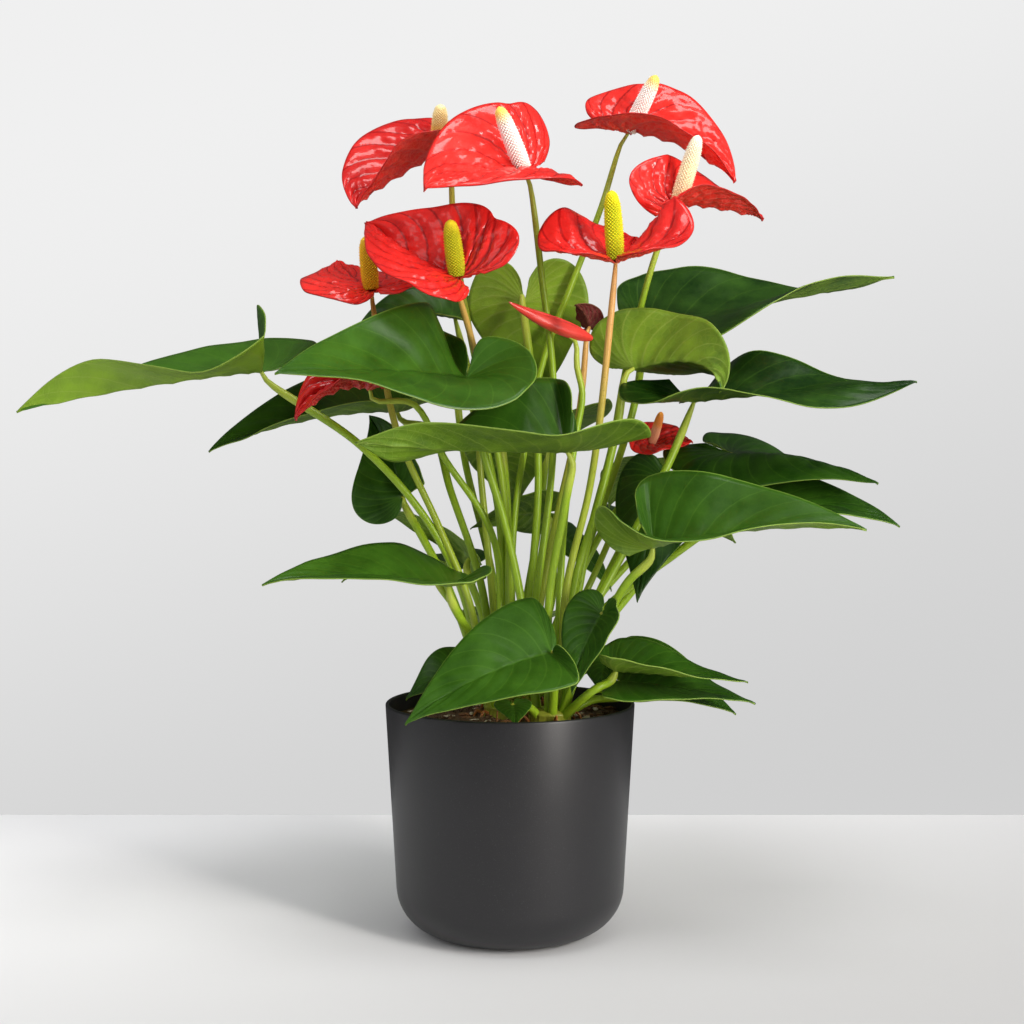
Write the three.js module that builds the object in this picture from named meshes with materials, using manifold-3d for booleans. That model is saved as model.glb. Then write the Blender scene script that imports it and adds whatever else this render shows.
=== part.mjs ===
// A potted anthurium in flower: an anthracite plastic pot with a rounded foot, peat soil, three
// crowns of petioles and flower stalks, heart-shaped leathery leaves, and red waxy spathes with
// their spadices. Millimetres, +Z up, the origin at the middle of the pot's base. The front of the
// plant, from which it is usually seen, faces -Y.

import * as THREE from "three";
import { mergeVertices } from "three/addons/utils/BufferGeometryUtils.js";
import Module from "manifold-3d";

const wasm = await Module();
wasm.setup();

// ---------------------------------------------------------------- driving dimensions

const POT = {
  height: 164,
  rimRadius: 90,
  footRadius: 80.6, // where the straight side would meet the floor
  cornerRadius: 32, // the rounded foot
  wall: 2.8,
  segments: 36,
};
const SOIL = {
  top: 152, // height of the surface at the wall
  mound: 3, // how much the middle is higher
  relief: 1.6, // how far crumbs and bark stand out of it
  gap: 0.3, // to the pot's wall and floor
  rings: 6,
  holeGap: 0.4, // round a crown's foot
};
const CROWN = { depth: 38, radius: 15, height: 14, sides: 12 };

const LEAF_THICKNESS = 0.9;
const SPATHE_THICKNESS = 1.0;
const BLADE_GAP = 0.6; // between a blade and the end of its petiole or stalk
const PETIOLE = { foot: 3.4, middle: 2.8, neck: 3.1, end: 1.4 }; // radii
const STALK = { foot: 3.0, middle: 2.5, neck: 2.3, end: 1.3 };
const STEM_SIDES = 5;
const STEM_STEPS = 7;
const NECK = 7; // length of the bent end under the blade
const FOOT_SPREAD = 9; // how far a stem's foot stands from its crown's middle
const FOOT_RISE = 6; // and how high above the soil at the wall
// rise is how far its foot stands above the joint, and start how thin it is there
const SPADIX = { radius: 6, rise: 6, start: 0.4, rings: 8, sides: 8, floret: 0.5 };

// Half of a blade's outline, in lengths of the blade from its joint (0) to its tip (1): x runs
// along the midrib and y away from it. The first point is the corner of the sinus, and the rows
// of the first FAN_SHARE of it all start at the joint, as the basal veins do.
const LEAF_OUTLINE = [
  [-0.17, 0.035], [-0.27, 0.09], [-0.315, 0.18], [-0.29, 0.28], [-0.2, 0.36], [-0.05, 0.405],
  [0.12, 0.4], [0.32, 0.34], [0.53, 0.24], [0.74, 0.125], [0.9, 0.04], [1, 0],
];
const SPATHE_OUTLINE = [
  [-0.12, 0.03], [-0.21, 0.1], [-0.25, 0.21], [-0.21, 0.33], [-0.11, 0.43], [0.04, 0.49],
  [0.22, 0.49], [0.42, 0.43], [0.6, 0.325], [0.78, 0.19], [0.92, 0.07], [1, 0],
];
const FAN_SHARE = 5 / 11;
const RIB_POWER = 1.5; // how the other rows' feet bunch up towards the joint
const CUPPING = 1.35; // how the rise of a half gathers towards its margin
const STEEPEST = 0.96; // the sine of the steepest rise
const BIG_LEAF = 100; // longer leaves get the finer grid of rows and columns
const BIG_GRID = [9, 3];
const SMALL_GRID = [7, 2];

// ---------------------------------------------------------------- the plant's plan

const CROWNS = { left: [-4, -8], right: [28, -36], back: [2, 34] };

// How a blade lies. Seen from above with the tip away, half a is on the left of the midrib and
// half b on the right:
//   joint, tip  where its midrib starts and ends, and via, points on the way down its petiole
//   length      of the flattened blade, in mm, and wide a factor on its usual width
//   bow         the midrib's control point: along the chord, up, and towards half a
//   roll        turns the blade round its midrib, in degrees, raising half a; twist adds at the tip
//   lobes       a factor on the reach of each half's basal lobe, [a, b]
//   a, b        how high the margin stands above the midrib, in mm, at five places from the
//               sinus by the lobe and the widest part towards the tip
const LEAVES = {
  far_left: { crown: "left", joint: [-179, 0, 402], tip: [-342, -40, 372], length: 172, lobes: [0.1, 0.9],
    bow: [0.5, 0.03, 0], a: [8, 46, 36, 3, 24], b: [3, 18, 26, 26, 12],
    via: [[-107, -20, 350], [-62, -16, 300], [-36, -12, 250]] },
  left_big: { crown: "right", joint: [-31, -35, 396], tip: [-148, -135, 393], length: 158, wide: 0.9,
    bow: [0.5, 0.04, 0], lobes: [0.65, 0.3], a: [30, 26, -4, -26, -8], b: [14, 28, 38, 54, 22],
    via: [[-18, -30, 342], [-4, -28, 295], [8, -28, 239]] },
  front_middle: { crown: "right", joint: [39, -62, 344], tip: [-100, -110, 350], length: 152, lobes: [1, 0.5],
    bow: [0.5, -0.03, 0], a: [3, 10, 20, 12, 17], b: [10, 44, 51, 46, -8],
    via: [[40, -58, 321], [36, -52, 298], [27, -44, 240]] },
  centre_back: { crown: "back", joint: [11, 68, 459], tip: [30, 132, 390], length: 104, wide: 1.15,
    bow: [0.3, -0.25, 0], a: [0, 5, 8, 5, 0], b: [0, 5, 8, 5, 0],
    via: [[16, 46, 403], [21, 36, 327], [15, 28, 235]] },
  right_light: { crown: "right", joint: [90, 14, 405], tip: [145, -45, 385], length: 114, lobes: [0.8, 0.9],
    bow: [0.75, 0.26, 0.1], roll: -58, a: [11, 37, 41, 34, 12], b: [2, 7, 22, 38, 16],
    via: [[79, 15, 368], [67, 5, 318], [46, -15, 250]] },
  back_right: { crown: "back", joint: [110, 118, 447], tip: [295, 78, 479], length: 194,
    bow: [0.5, -0.02, 0], lobes: [0.55, 0.4], a: [5, 34, 46, 46, 6], b: [-2, -13, -26, -28, 6],
    via: [[97, 85, 385], [77, 60, 323], [42, 36, 235]] },
  right: { crown: "right", joint: [134, 14, 381], tip: [277, -58, 392], length: 158,
    bow: [0.5, 0, 0], lobes: [0.4, 0.9], a: [0, 4, 13, 37, 6], b: [18, 16, -2, 4, -15],
    via: [[116, 5, 339], [86, -5, 281], [49, -25, 211]] },
  right_mid: { crown: "right", joint: [167, 50, 344], tip: [258, -30, 322], length: 130,
    a: [8, 16, 14, -6, -4], b: [8, 6, -12, -28, -10],
    via: [[134, 56, 288], [92, 30, 243], [50, -12, 195]] },
  right_behind: { crown: "back", joint: [162, 2, 309], tip: [274, -28, 292], length: 120, wide: 0.95, lobes: [0.4, 0.4],
    a: [0, 8, 14, 22, 12], b: [0, -5, -8, -8, -2], via: [[123, 12, 272], [80, 12, 240], [40, 20, 200]] },
  right_front: { crown: "right", joint: [97, -65, 279], tip: [228, -125, 294], length: 145,
    bow: [0.5, 0.08, 0], lobes: [0.45, 0.66], a: [12, 35, 49, 47, 20], b: [-2, 20, 33, 0, 4],
    via: [[81, -60, 256], [66, -52, 230], [45, -44, 196]] },
  right_glossy: { crown: "right", joint: [114, 28, 324], tip: [90, -22, 238], length: 98, wide: 0.9, lobes: [0.2, 0.6],
    bow: [0.5, 0.08, 0], a: [0, -2, -20, -20, -4], b: [3, 12, 4, 0, 0],
    via: [[96, 31, 296], [72, 16, 256], [50, -12, 210]] },
  low_left: { crown: "left", joint: [-42, -68, 253], tip: [-162, -104, 257], length: 134,
    lobes: [0.5, 0.6], a: [8, 20, 12, 0, 0], b: [4, 9, 12, 22, 11],
    via: [[-35, -58, 232], [-22, -36, 208]] },
  low_left_behind: { crown: "back", joint: [-31, 62, 264], tip: [-104, 95, 299], length: 96, wide: 0.8, lobes: [0.5, 0.5],
    roll: 32, a: [0, 0, 0, 0, 0], b: [0, 0, 0, 0, 0], via: [[-22, 48, 225]] },
  front_low: { crown: "right", joint: [28, -74, 209], tip: [-69, -102, 165], length: 122, wide: 0.88,
    roll: -40, lobes: [0.2, 0.2], a: [10, 12, 14, 12, 3], b: [0, 5, 10, 12, 5], via: [[31, -58, 190]] },
  low_behind_front: { crown: "left", joint: [-42, 8, 187], tip: [-76, 5, 164], length: 46,
    roll: -30, a: [0, 0, 0, 0, 0], b: [0, 0, 5, 8, 0], via: [[-26, 2, 176]] },
  low_right_front: { crown: "right", joint: [73, -57, 194], tip: [161, -72, 189], length: 95, wide: 0.9,
    bow: [0.5, 0, 0], lobes: [0.5, 0.5], a: [3, 10, 17, 19, 4], b: [4, 14, 14, 11, 2],
    via: [[58, -62, 182]] },
  low_right_middle: { crown: "right", joint: [77, -34, 184], tip: [168, -60, 172], length: 103,
    bow: [0.5, 0.03, 0], lobes: [0.5, 0.2], a: [3, 15, 25, 28, 5], b: [0, -4, -6, -6, 0],
    via: [[60, -36, 178]] },
  low_right_back: { crown: "right", joint: [86, -4, 176], tip: [158, -38, 161], length: 88,
    lobes: [0.5, 0.3], a: [0, 5, 8, 10, 6], b: [0, -3, -4, -4, -1], via: [[57, -22, 168]] },
  low_dark: { crown: "back", joint: [70, 34, 190], tip: [66, 12, 167], length: 42,
    a: [0, 2, 3, 2, 0], b: [0, 2, 3, 2, 0], via: [[45, 34, 178]] },
  low_middle: { crown: "right", joint: [62, -66, 234], tip: [42, -78, 181], length: 74, wide: 0.85, roll: -30,
    lobes: [0.6, 0.6], a: [5, 14, 18, 12, 3], b: [0, 0, 0, 0, 0], via: [[54, -58, 212]] },
  at_soil: { crown: "right", joint: [2, -58, 171], tip: [4, -80, 160], length: 32,
    a: [0, 0, 0, 0, 0], b: [0, 0, 0, 0, 0], via: [[12, -50, 168]] },
  centre_under: { crown: "back", joint: [27, 80, 298], tip: [-31, 74, 286], length: 80, lobes: [0.6, 0.6],
    roll: 32, a: [0, 0, 0, 0, 0], b: [0, 0, 0, 0, 0], via: [[18, 64, 242]] },
  centre_right: { crown: "back", joint: [42, 98, 279], tip: [80, 94, 236], length: 66, lobes: [0.5, 0.5],
    roll: 20, a: [0, 0, 0, 0, 0], b: [0, 0, 0, 0, 0], via: [[32, 74, 230]] },
  left_folded: { crown: "left", joint: [-79, 25, 312], tip: [-106, 50, 372], length: 92, roll: -40, lobes: [0.6, 0.4],
    a: [0, 0, 0, 0, 0], b: [8, 30, 36, 34, 18], via: [[-64, 15, 282], [-44, 2, 245]] },
  left_low: { crown: "left", joint: [-85, 48, 375], tip: [-223, 30, 345], length: 145,
    lobes: [0.6, 0.6], a: [5, 8, 8, 6, 0], b: [5, 20, 32, 40, 20],
    via: [[-59, 40, 361], [-44, 22, 317], [-20, 4, 244]] },
  left_behind: { crown: "back", joint: [-43, 92, 449], tip: [-119, 112, 446], length: 98, lobes: [0.5, 0.5],
    a: [0, 0, 0, 0, 0], b: [0, 4, 14, 24, 20], via: [[-27, 66, 384], [-8, 44, 294]] },
  back_hanging: { crown: "back", joint: [-4, 82, 348], tip: [5, 130, 300], length: 80,
    bow: [0.3, -0.1, 0], a: [0, 0, 0, 0, 0], b: [0, 0, 0, 0, 0], via: [[-2, 44, 300]] },
  right_dark: { crown: "back", joint: [101, 100, 333], tip: [80, 138, 300], length: 75,
    a: [0, 0, 0, 0, 0], b: [0, 0, 0, 0, 0], via: [[68, 66, 280]] },
  rear_high: { crown: "back", joint: [-45, 115, 408], tip: [-105, 235, 384], length: 146, lobes: [0.7, 0.7],
    a: [4, 12, 18, 10, 4], b: [4, 12, 18, 10, 4], via: [[-36, 104, 340], [-14, 84, 250]] },
  rear_middle: { crown: "back", joint: [30, 115, 368], tip: [40, 230, 346], length: 130, lobes: [0.6, 0.6],
    a: [4, 12, 18, 10, 4], b: [4, 12, 18, 10, 4], via: [[23, 118, 290], [12, 92, 225]] },
  rear_right: { crown: "back", joint: [118, 150, 285], tip: [195, 220, 268], length: 118,
    a: [4, 12, 18, 10, 4], b: [4, 12, 18, 10, 4], via: [[74, 124, 232], [38, 92, 188]] },
  rear_low: { crown: "back", joint: [5, 105, 205], tip: [-15, 205, 178], length: 112, lobes: [0.5, 0.5],
    a: [4, 12, 18, 10, 4], b: [4, 12, 18, 10, 4], via: [[4, 72, 188]] },
  rear_left: { crown: "back", joint: [-60, 105, 250], tip: [-140, 165, 238], length: 106,
    a: [4, 12, 18, 10, 4], b: [4, 12, 18, 10, 4], via: [[-28, 76, 205]] },
};

// A flower: its stalk's route, its spathe, laid out as a leaf's blade is, and its spadix's tip.
const FLOWERS = {
  top_right: { crown: "back", joint: [90, 75, 588], tip: [167, 43, 545], length: 95,
    bow: [0.5, 0.14, 0], lobes: [2.1, 1.5], a: [4, 26, 42, 42, 22], b: [0, -4, 2, 11, 8],
    spadix: [110, 55, 627], via: [[69, 66, 530], [46, 57, 470], [26, 60, 417], [10, 56, 342], [2, 44, 279]] },
  upper_right: { crown: "right", joint: [121, 16, 523], tip: [190, 54, 519], length: 84,
    bow: [0.5, 0.05, 0], roll: 15, lobes: [1.7, 1], a: [-8, 18, 34, 28, 12], b: [0, 4, 18, 14, 5],
    spadix: [136, 10, 573], via: [[106, 24, 487], [86, 44, 404], [75, 26, 349], [56, -4, 280]] },
  middle_right: { crown: "right", joint: [72, -55, 473], tip: [92, 22, 500], length: 95, wide: 1.25,
    bow: [0.5, -0.1, 0], lobes: [1.4, 1.4], a: [3, 7, 14, 38, 20], b: [3, 6, 15, 42, 14],
    spadix: [69, -55, 522], via: [[62, -45, 366], [55, -35, 316], [39, -34, 245]] },
  top_centre: { crown: "left", joint: [11, -10, 542], tip: [-57, -75, 519], length: 104, wide: 1.14,
    bow: [0.5, 0.08, 0], lobes: [0.4, 2], a: [-2, -10, -16, -10, -6], b: [10, 49, 56, 44, 14],
    spadix: [-8, -35, 583], via: [[23, 0, 468], [31, 8, 402], [31, 8, 341], [20, 0, 250]] },
  top_left: { crown: "back", joint: [-53, 40, 565], tip: [-111, 10, 521], length: 98, wide: 1.1,
    bow: [0.75, 0.02, -0.15], lobes: [0.5, 1.2], a: [0, 0, 14, 24, 10], b: [4, 14, 30, 38, 24],
    spadix: [-51, 31, 600], via: [[-41, 30, 501], [-27, 22, 419], [-9, 28, 342], [0, 34, 261]] },
  middle_left: { crown: "left", joint: [-36, -45, 463], tip: [-105, 15, 510], length: 104,
    bow: [0.5, -0.05, 0], lobes: [1, 1.8], a: [-6, -10, -8, -4, 0], b: [10, 40, 50, 56, 40],
    spadix: [-41, -50, 503], via: [[-22, -2, 399], [-22, 0, 342], [-17, 0, 285], [-11, -4, 215]] },
  left: { crown: "left", joint: [-100, 8, 460], tip: [-133, 78, 490], length: 98,
    bow: [0.5, -0.05, 0], a: [-2, -5, -3, 0, 0], b: [0, 8, 16, 10, 2], spadix: [-104, 6, 500],
    via: [[-95, -6, 432], [-80, -18, 359], [-50, -16, 290], [-30, -14, 240]] },
  hidden_left: { crown: "left", joint: [-98, -30, 388], tip: [-146, -58, 366], length: 66,
    bow: [0.4, 0.2, 0], a: [2, 6, 12, 14, 6], b: [3, 12, 24, 28, 16],
    via: [[-68, -26, 378], [-47, -22, 341], [-11, -14, 280]] },
  small_right: { crown: "back", joint: [107, 60, 350], tip: [136, 40, 352], length: 58, wide: 1.1,
    bow: [0.5, -0.1, 0], lobes: [1.5, 0.8], a: [4, 12, 16, 12, 4], b: [4, 9, 1, -6, -2], spadix: [114, 52, 375], thin: 0.55,
    via: [[88, 56, 309], [55, 30, 238]] },
};
const BUD = { crown: "right", joint: [42, -3, 423.6], tip: [46, 0, 444], length: 20,
  ends: [[60, 6, 426], [20, -14, 437], [-1, -30, 449]], radius: 5.6,
  via: [[48, 0, 406], [52, 0, 386], [47, -6, 355], [38, -18, 290]] };
const WITHERED = { crown: "back", joint: [59, 38, 437], tip: [48, 30, 453], length: 26,
  bow: [0.5, 0.2, 0], lobes: [0.5, 0.5], roll: 30, a: [0, 3, 9, 8, 3], b: [0, 4, 9, 7, 3],
  via: [[54, 34, 397], [49, 30, 361], [30, 28, 275]] };

// ---------------------------------------------------------------- helpers

const vector = (p) => new THREE.Vector3(...p);
const radians = THREE.MathUtils.degToRad;
const UP = new THREE.Vector3(0, 0, 1);

function meshGeometry(points, faces) {
  const geometry = new THREE.BufferGeometry();
  geometry.setAttribute(
    "position",
    new THREE.Float32BufferAttribute(points.flatMap((p) => p.toArray()), 3),
  );
  geometry.setIndex(faces.flat());
  return geometry;
}

// ---------------------------------------------------------------- blades

// Where the midrib is at x, and the directions ahead along it, across it towards half a, and above.
function ribFrame(blade, x) {
  const joint = vector(blade.joint);
  const chord = vector(blade.tip).sub(joint);
  const level = UP.clone().cross(chord).normalize();
  const lift = chord.clone().cross(level).normalize();
  const [along, up, sideways] = blade.bow ?? [0.5, 0.1, 0];
  const control = chord.clone().multiplyScalar(along)
    .addScaledVector(lift, up * blade.length)
    .addScaledVector(level, sideways * blade.length);
  const at = Math.max(0, x);
  const centre = control.clone().multiplyScalar(2 * at * (1 - at)).addScaledVector(chord, at * at);
  const ahead = control.clone().multiplyScalar(2 - 4 * at).addScaledVector(chord, 2 * at).normalize();
  centre.addScaledVector(ahead, Math.min(0, x) * blade.length).add(joint);
  const turn = radians((blade.roll ?? 0) + (blade.twist ?? 0) * at);
  const flat = level.addScaledVector(ahead, -level.dot(ahead)).normalize();
  const normal = ahead.clone().cross(flat);
  const across = flat.multiplyScalar(Math.cos(turn)).addScaledVector(normal, Math.sin(turn));
  return { centre, ahead, across, above: ahead.clone().cross(across) };
}

// How high a half's margin stands at share k of the outline, from its five heights.
function marginHeight(heights, k) {
  const places = [...heights, 0].map((height, i) => new THREE.Vector2(i, height));
  return new THREE.SplineCurve(places).getPoint(k).y;
}

// A point of the middle surface of a blade: share k of the way round the outline from the sinus
// to the tip, v from the midrib (0) to the margin (1), on half a (side 1) or b (side -1).
function bladePoint(blade, outline, side, k, v) {
  const edge = outline.getPoint(k);
  const [lobeA, lobeB] = blade.lobes ?? [1, 1];
  if (edge.x < 0) edge.x *= side > 0 ? lobeA : lobeB;
  edge.y *= blade.wide ?? 1;
  const rib = Math.max(0, (k - FAN_SHARE) / (1 - FAN_SHARE)) ** RIB_POWER;
  const reach = Math.hypot(edge.x - rib, edge.y) * blade.length;
  const rise = marginHeight(side > 0 ? blade.a : blade.b, k);
  const sine = reach ? Math.max(-STEEPEST, Math.min(STEEPEST, rise / reach)) : 0;
  const level = Math.sqrt(1 - sine * sine) * v;
  const { centre, across, above } = ribFrame(blade, rib + (edge.x - rib) * level);
  return centre
    .addScaledVector(across, side * edge.y * level * blade.length)
    .addScaledVector(above, sine * reach * v ** CUPPING);
}

// A closed blade of even thickness. Both faces are split into the same triangles.
function bladeGeometry(blade, outlinePoints, thickness, rows, columns) {
  const outline = new THREE.SplineCurve(outlinePoints.map((p) => new THREE.Vector2(...p)));
  const points = [];
  const add = (point) => points.push(point) - 1;
  const ribIds = new Map();
  const ribId = (row) => {
    const k = row / rows;
    const key = k <= FAN_SHARE ? 0 : row;
    if (!ribIds.has(key)) ribIds.set(key, add(bladePoint(blade, outline, 1, key ? k : 0, 0)));
    return ribIds.get(key);
  };
  const tipId = ribId(rows);
  const grids = [1, -1].map((side) => {
    const grid = [];
    for (let row = 0; row <= rows; row++) {
      const ids = [ribId(row)];
      for (let column = 1; column <= columns; column++)
        ids.push(row === rows ? tipId : add(bladePoint(blade, outline, side, row / rows, column / columns)));
      grid.push(ids);
    }
    return { side, grid };
  });

  const faces = [];
  const face = (side, a, b, c) => {
    if (a !== b && b !== c && c !== a) faces.push(side > 0 ? [a, b, c] : [a, c, b]);
  };
  for (const { side, grid } of grids)
    for (let row = 0; row < rows; row++)
      for (let column = 0; column < columns; column++) {
        const [p, q] = [grid[row][column], grid[row][column + 1]];
        const [r, s] = [grid[row + 1][column], grid[row + 1][column + 1]];
        face(side, p, r, s);
        face(side, p, s, q);
      }

  const normals = points.map(() => new THREE.Vector3());
  for (const [a, b, c] of faces) {
    const normal = points[b].clone().sub(points[a]).cross(points[c].clone().sub(points[a]));
    for (const id of [a, b, c]) normals[id].add(normal);
  }
  const [left, right] = grids.map(({ grid }) => grid);
  const rim = [
    ...left[0].slice(0, columns),
    ...left.slice(0, rows).map((ids) => ids[columns]),
    tipId,
    ...right.slice(0, rows).reverse().map((ids) => ids[columns]),
    ...right[0].slice(1, columns).reverse(),
  ];
  const count = points.length;
  const shift = (offset) =>
    points.map((p, i) => p.clone().addScaledVector(normals[i].clone().normalize(), offset));
  const solid = [...faces, ...faces.map(([a, b, c]) => [a + count, c + count, b + count])];
  rim.forEach((from, i) => {
    const to = rim[(i + 1) % rim.length];
    solid.push([from, to, to + count], [from, to + count, from + count]);
  });
  return meshGeometry([...shift(thickness / 2), ...shift(-thickness / 2)], solid);
}

// ---------------------------------------------------------------- stems

// A closed round bar along a curve, whose radius is radiusAt(share of its length, side).
function barGeometry(curve, radiusAt, steps, sides) {
  const { normals, binormals } = curve.computeFrenetFrames(steps);
  const points = [];
  for (let step = 0; step <= steps; step++) {
    const centre = curve.getPointAt(step / steps);
    for (let side = 0; side < sides; side++) {
      const angle = (2 * Math.PI * side) / sides;
      points.push(
        centre.clone()
          .addScaledVector(normals[step], radiusAt(step / steps, side) * Math.cos(angle))
          .addScaledVector(binormals[step], radiusAt(step / steps, side) * Math.sin(angle)),
      );
    }
  }
  const [start, end] = [points.length, points.length + 1];
  points.push(curve.getPointAt(0), curve.getPointAt(1));
  const faces = [];
  for (let side = 0; side < sides; side++) {
    const next = (side + 1) % sides;
    for (let step = 0; step < steps; step++) {
      const [near, far] = [step * sides, (step + 1) * sides];
      faces.push([near + side, near + next, far + next], [near + side, far + next, far + side]);
    }
    faces.push([start, next, side], [end, steps * sides + side, steps * sides + next]);
  }
  return meshGeometry(points, faces);
}

// A petiole's or stalk's radius: tapering from its foot, thicker at the neck below the blade.
const stemRadius = ({ foot, middle, neck, end }) => (share) => {
  if (share < 0.5) return foot + (middle - foot) * (share / 0.5);
  if (share < 0.9) return middle + (neck - middle) * ((share - 0.5) / 0.4) ** 2;
  return neck + (end - neck) * ((share - 0.9) / 0.1);
};

// The stem of a leaf or flower, from inside its crown to just under its joint.
function stemGeometry(plan, sizes, thickness) {
  const crown = new THREE.Vector3(...CROWNS[plan.crown], 0);
  const { ahead, above } = ribFrame(plan, 0);
  const end = vector(plan.joint).addScaledVector(above, -thickness / 2 - BLADE_GAP);
  const neck = end.clone().addScaledVector(above, -NECK).addScaledVector(ahead, -NECK / 2);
  const inner = [...plan.via.map(vector).reverse(), neck];
  const lean = inner[0].clone().setZ(0).sub(crown);
  lean.setLength(Math.min(FOOT_SPREAD, lean.length()));
  const foot = crown.clone().add(lean).setZ(SOIL.top + FOOT_RISE);
  const curve = new THREE.CatmullRomCurve3([foot, ...inner, end]);
  return barGeometry(curve, stemRadius(sizes), STEM_STEPS, STEM_SIDES);
}

function solidOf(geometry) {
  geometry.deleteAttribute("normal");
  geometry.deleteAttribute("uv");
  const merged = mergeVertices(geometry, 1e-4);
  return new wasm.Manifold(
    new wasm.Mesh({
      numProp: 3,
      vertProperties: merged.attributes.position.array,
      triVerts: new Uint32Array(merged.index.array),
    }),
  );
}

function geometryOf(solid) {
  const { vertProperties, triVerts } = solid.getMesh();
  const geometry = new THREE.BufferGeometry();
  geometry.setAttribute("position", new THREE.BufferAttribute(vertProperties, 3));
  geometry.setIndex(new THREE.BufferAttribute(triVerts, 1));
  return geometry;
}

// A crown's short stem in the soil, with every petiole and flower stalk that grows from it.
function crownGeometry(name) {
  const bottom = SOIL.top - CROWN.depth;
  const top = SOIL.top + CROWN.height;
  const profile = [
    [0, bottom], [CROWN.radius * 0.8, bottom], [CROWN.radius, bottom + 6],
    [CROWN.radius, SOIL.top], [CROWN.radius * 0.75, top - 4], [0, top],
  ];
  const stump = new THREE.LatheGeometry(profile.map((p) => new THREE.Vector2(...p)), CROWN.sides);
  stump.rotateX(Math.PI / 2);
  stump.translate(...CROWNS[name], 0);
  const stems = [
    ...Object.values(LEAVES).map((leaf) => [leaf, PETIOLE, LEAF_THICKNESS]),
    ...Object.values(FLOWERS).map((flower) => [flower, STALK, SPATHE_THICKNESS]),
    [BUD, STALK, 0],
    [WITHERED, STALK, SPATHE_THICKNESS],
  ].filter(([plan]) => plan.crown === name);
  const parts = [stump, ...stems.map(([plan, sizes, thick]) => stemGeometry(plan, sizes, thick))];
  return geometryOf(parts.map(solidOf).reduce((all, next) => all.add(next)));
}

// ---------------------------------------------------------------- flowers

// A spadix: a rounded spike whose florets stand out as a lattice of knobs.
function spadixGeometry(flower) {
  const joint = vector(flower.joint);
  const tip = vector(flower.spadix);
  const foot = joint.clone().add(tip.clone().sub(joint).setLength(SPADIX.rise));
  const thin = flower.thin ?? 1;
  const radiusAt = (share, side) => {
    const taper = (1 - 0.3 * share) * Math.min(1, SPADIX.start + 4 * share);
    const body = SPADIX.radius * thin * taper * Math.min(1, Math.sqrt((1.001 - share) / 0.15));
    return body + (share < 1 && (Math.round(share * SPADIX.rings) + side) % 2 ? SPADIX.floret : 0);
  };
  return barGeometry(new THREE.LineCurve3(foot, tip), radiusAt, SPADIX.rings, SPADIX.sides);
}

// The unopened bud: its spathe is still rolled to a spindle.
function budGeometry() {
  const curve = new THREE.QuadraticBezierCurve3(...BUD.ends.map(vector));
  const radiusAt = (share) => 0.4 + BUD.radius * Math.sin(Math.PI * Math.min(1, share ** 0.6)) ** 0.8;
  return barGeometry(curve, radiusAt, 12, 8);
}

// ---------------------------------------------------------------- pot and soil

// The pot's outer profile, moved inwards by an offset, from the floor's edge up to a height.
function sideProfile(offset, top) {
  const slope = Math.atan2(POT.rimRadius - POT.footRadius, POT.height);
  const { cornerRadius } = POT;
  const centre = POT.footRadius - (cornerRadius * (1 - Math.sin(slope))) / Math.cos(slope);
  const radius = cornerRadius - offset;
  const steps = 5;
  const points = [];
  for (let step = 0; step <= steps; step++) {
    const angle = -Math.PI / 2 + ((Math.PI / 2 - slope) * step) / steps;
    points.push([centre + radius * Math.cos(angle), cornerRadius + radius * Math.sin(angle)]);
  }
  const [, y] = points.at(-1);
  points.push([points.at(-1)[0] + (top - y) * Math.tan(slope), top]);
  return points;
}

function potGeometry() {
  const lip = POT.wall / 2;
  const outer = sideProfile(0, POT.height - lip);
  const inner = sideProfile(POT.wall, POT.height - lip);
  const middle = (outer.at(-1)[0] + inner.at(-1)[0]) / 2;
  const crest = [45, 90, 135].map((angle) => [
    middle + lip * Math.cos(radians(angle)), POT.height - lip + lip * Math.sin(radians(angle)),
  ]);
  const profile = [[0, 0], ...outer, ...crest, ...inner.reverse(), [0, POT.wall]];
  const pot = new THREE.LatheGeometry(profile.map((p) => new THREE.Vector2(...p)), POT.segments);
  pot.rotateX(Math.PI / 2);
  return pot;
}

// Random numbers in 0..1 that are the same on every run.
function seeded(seed) {
  let state = seed;
  return () => {
    state = (state * 1664525 + 1013904223) % 4294967296;
    return state / 4294967296;
  };
}

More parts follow.
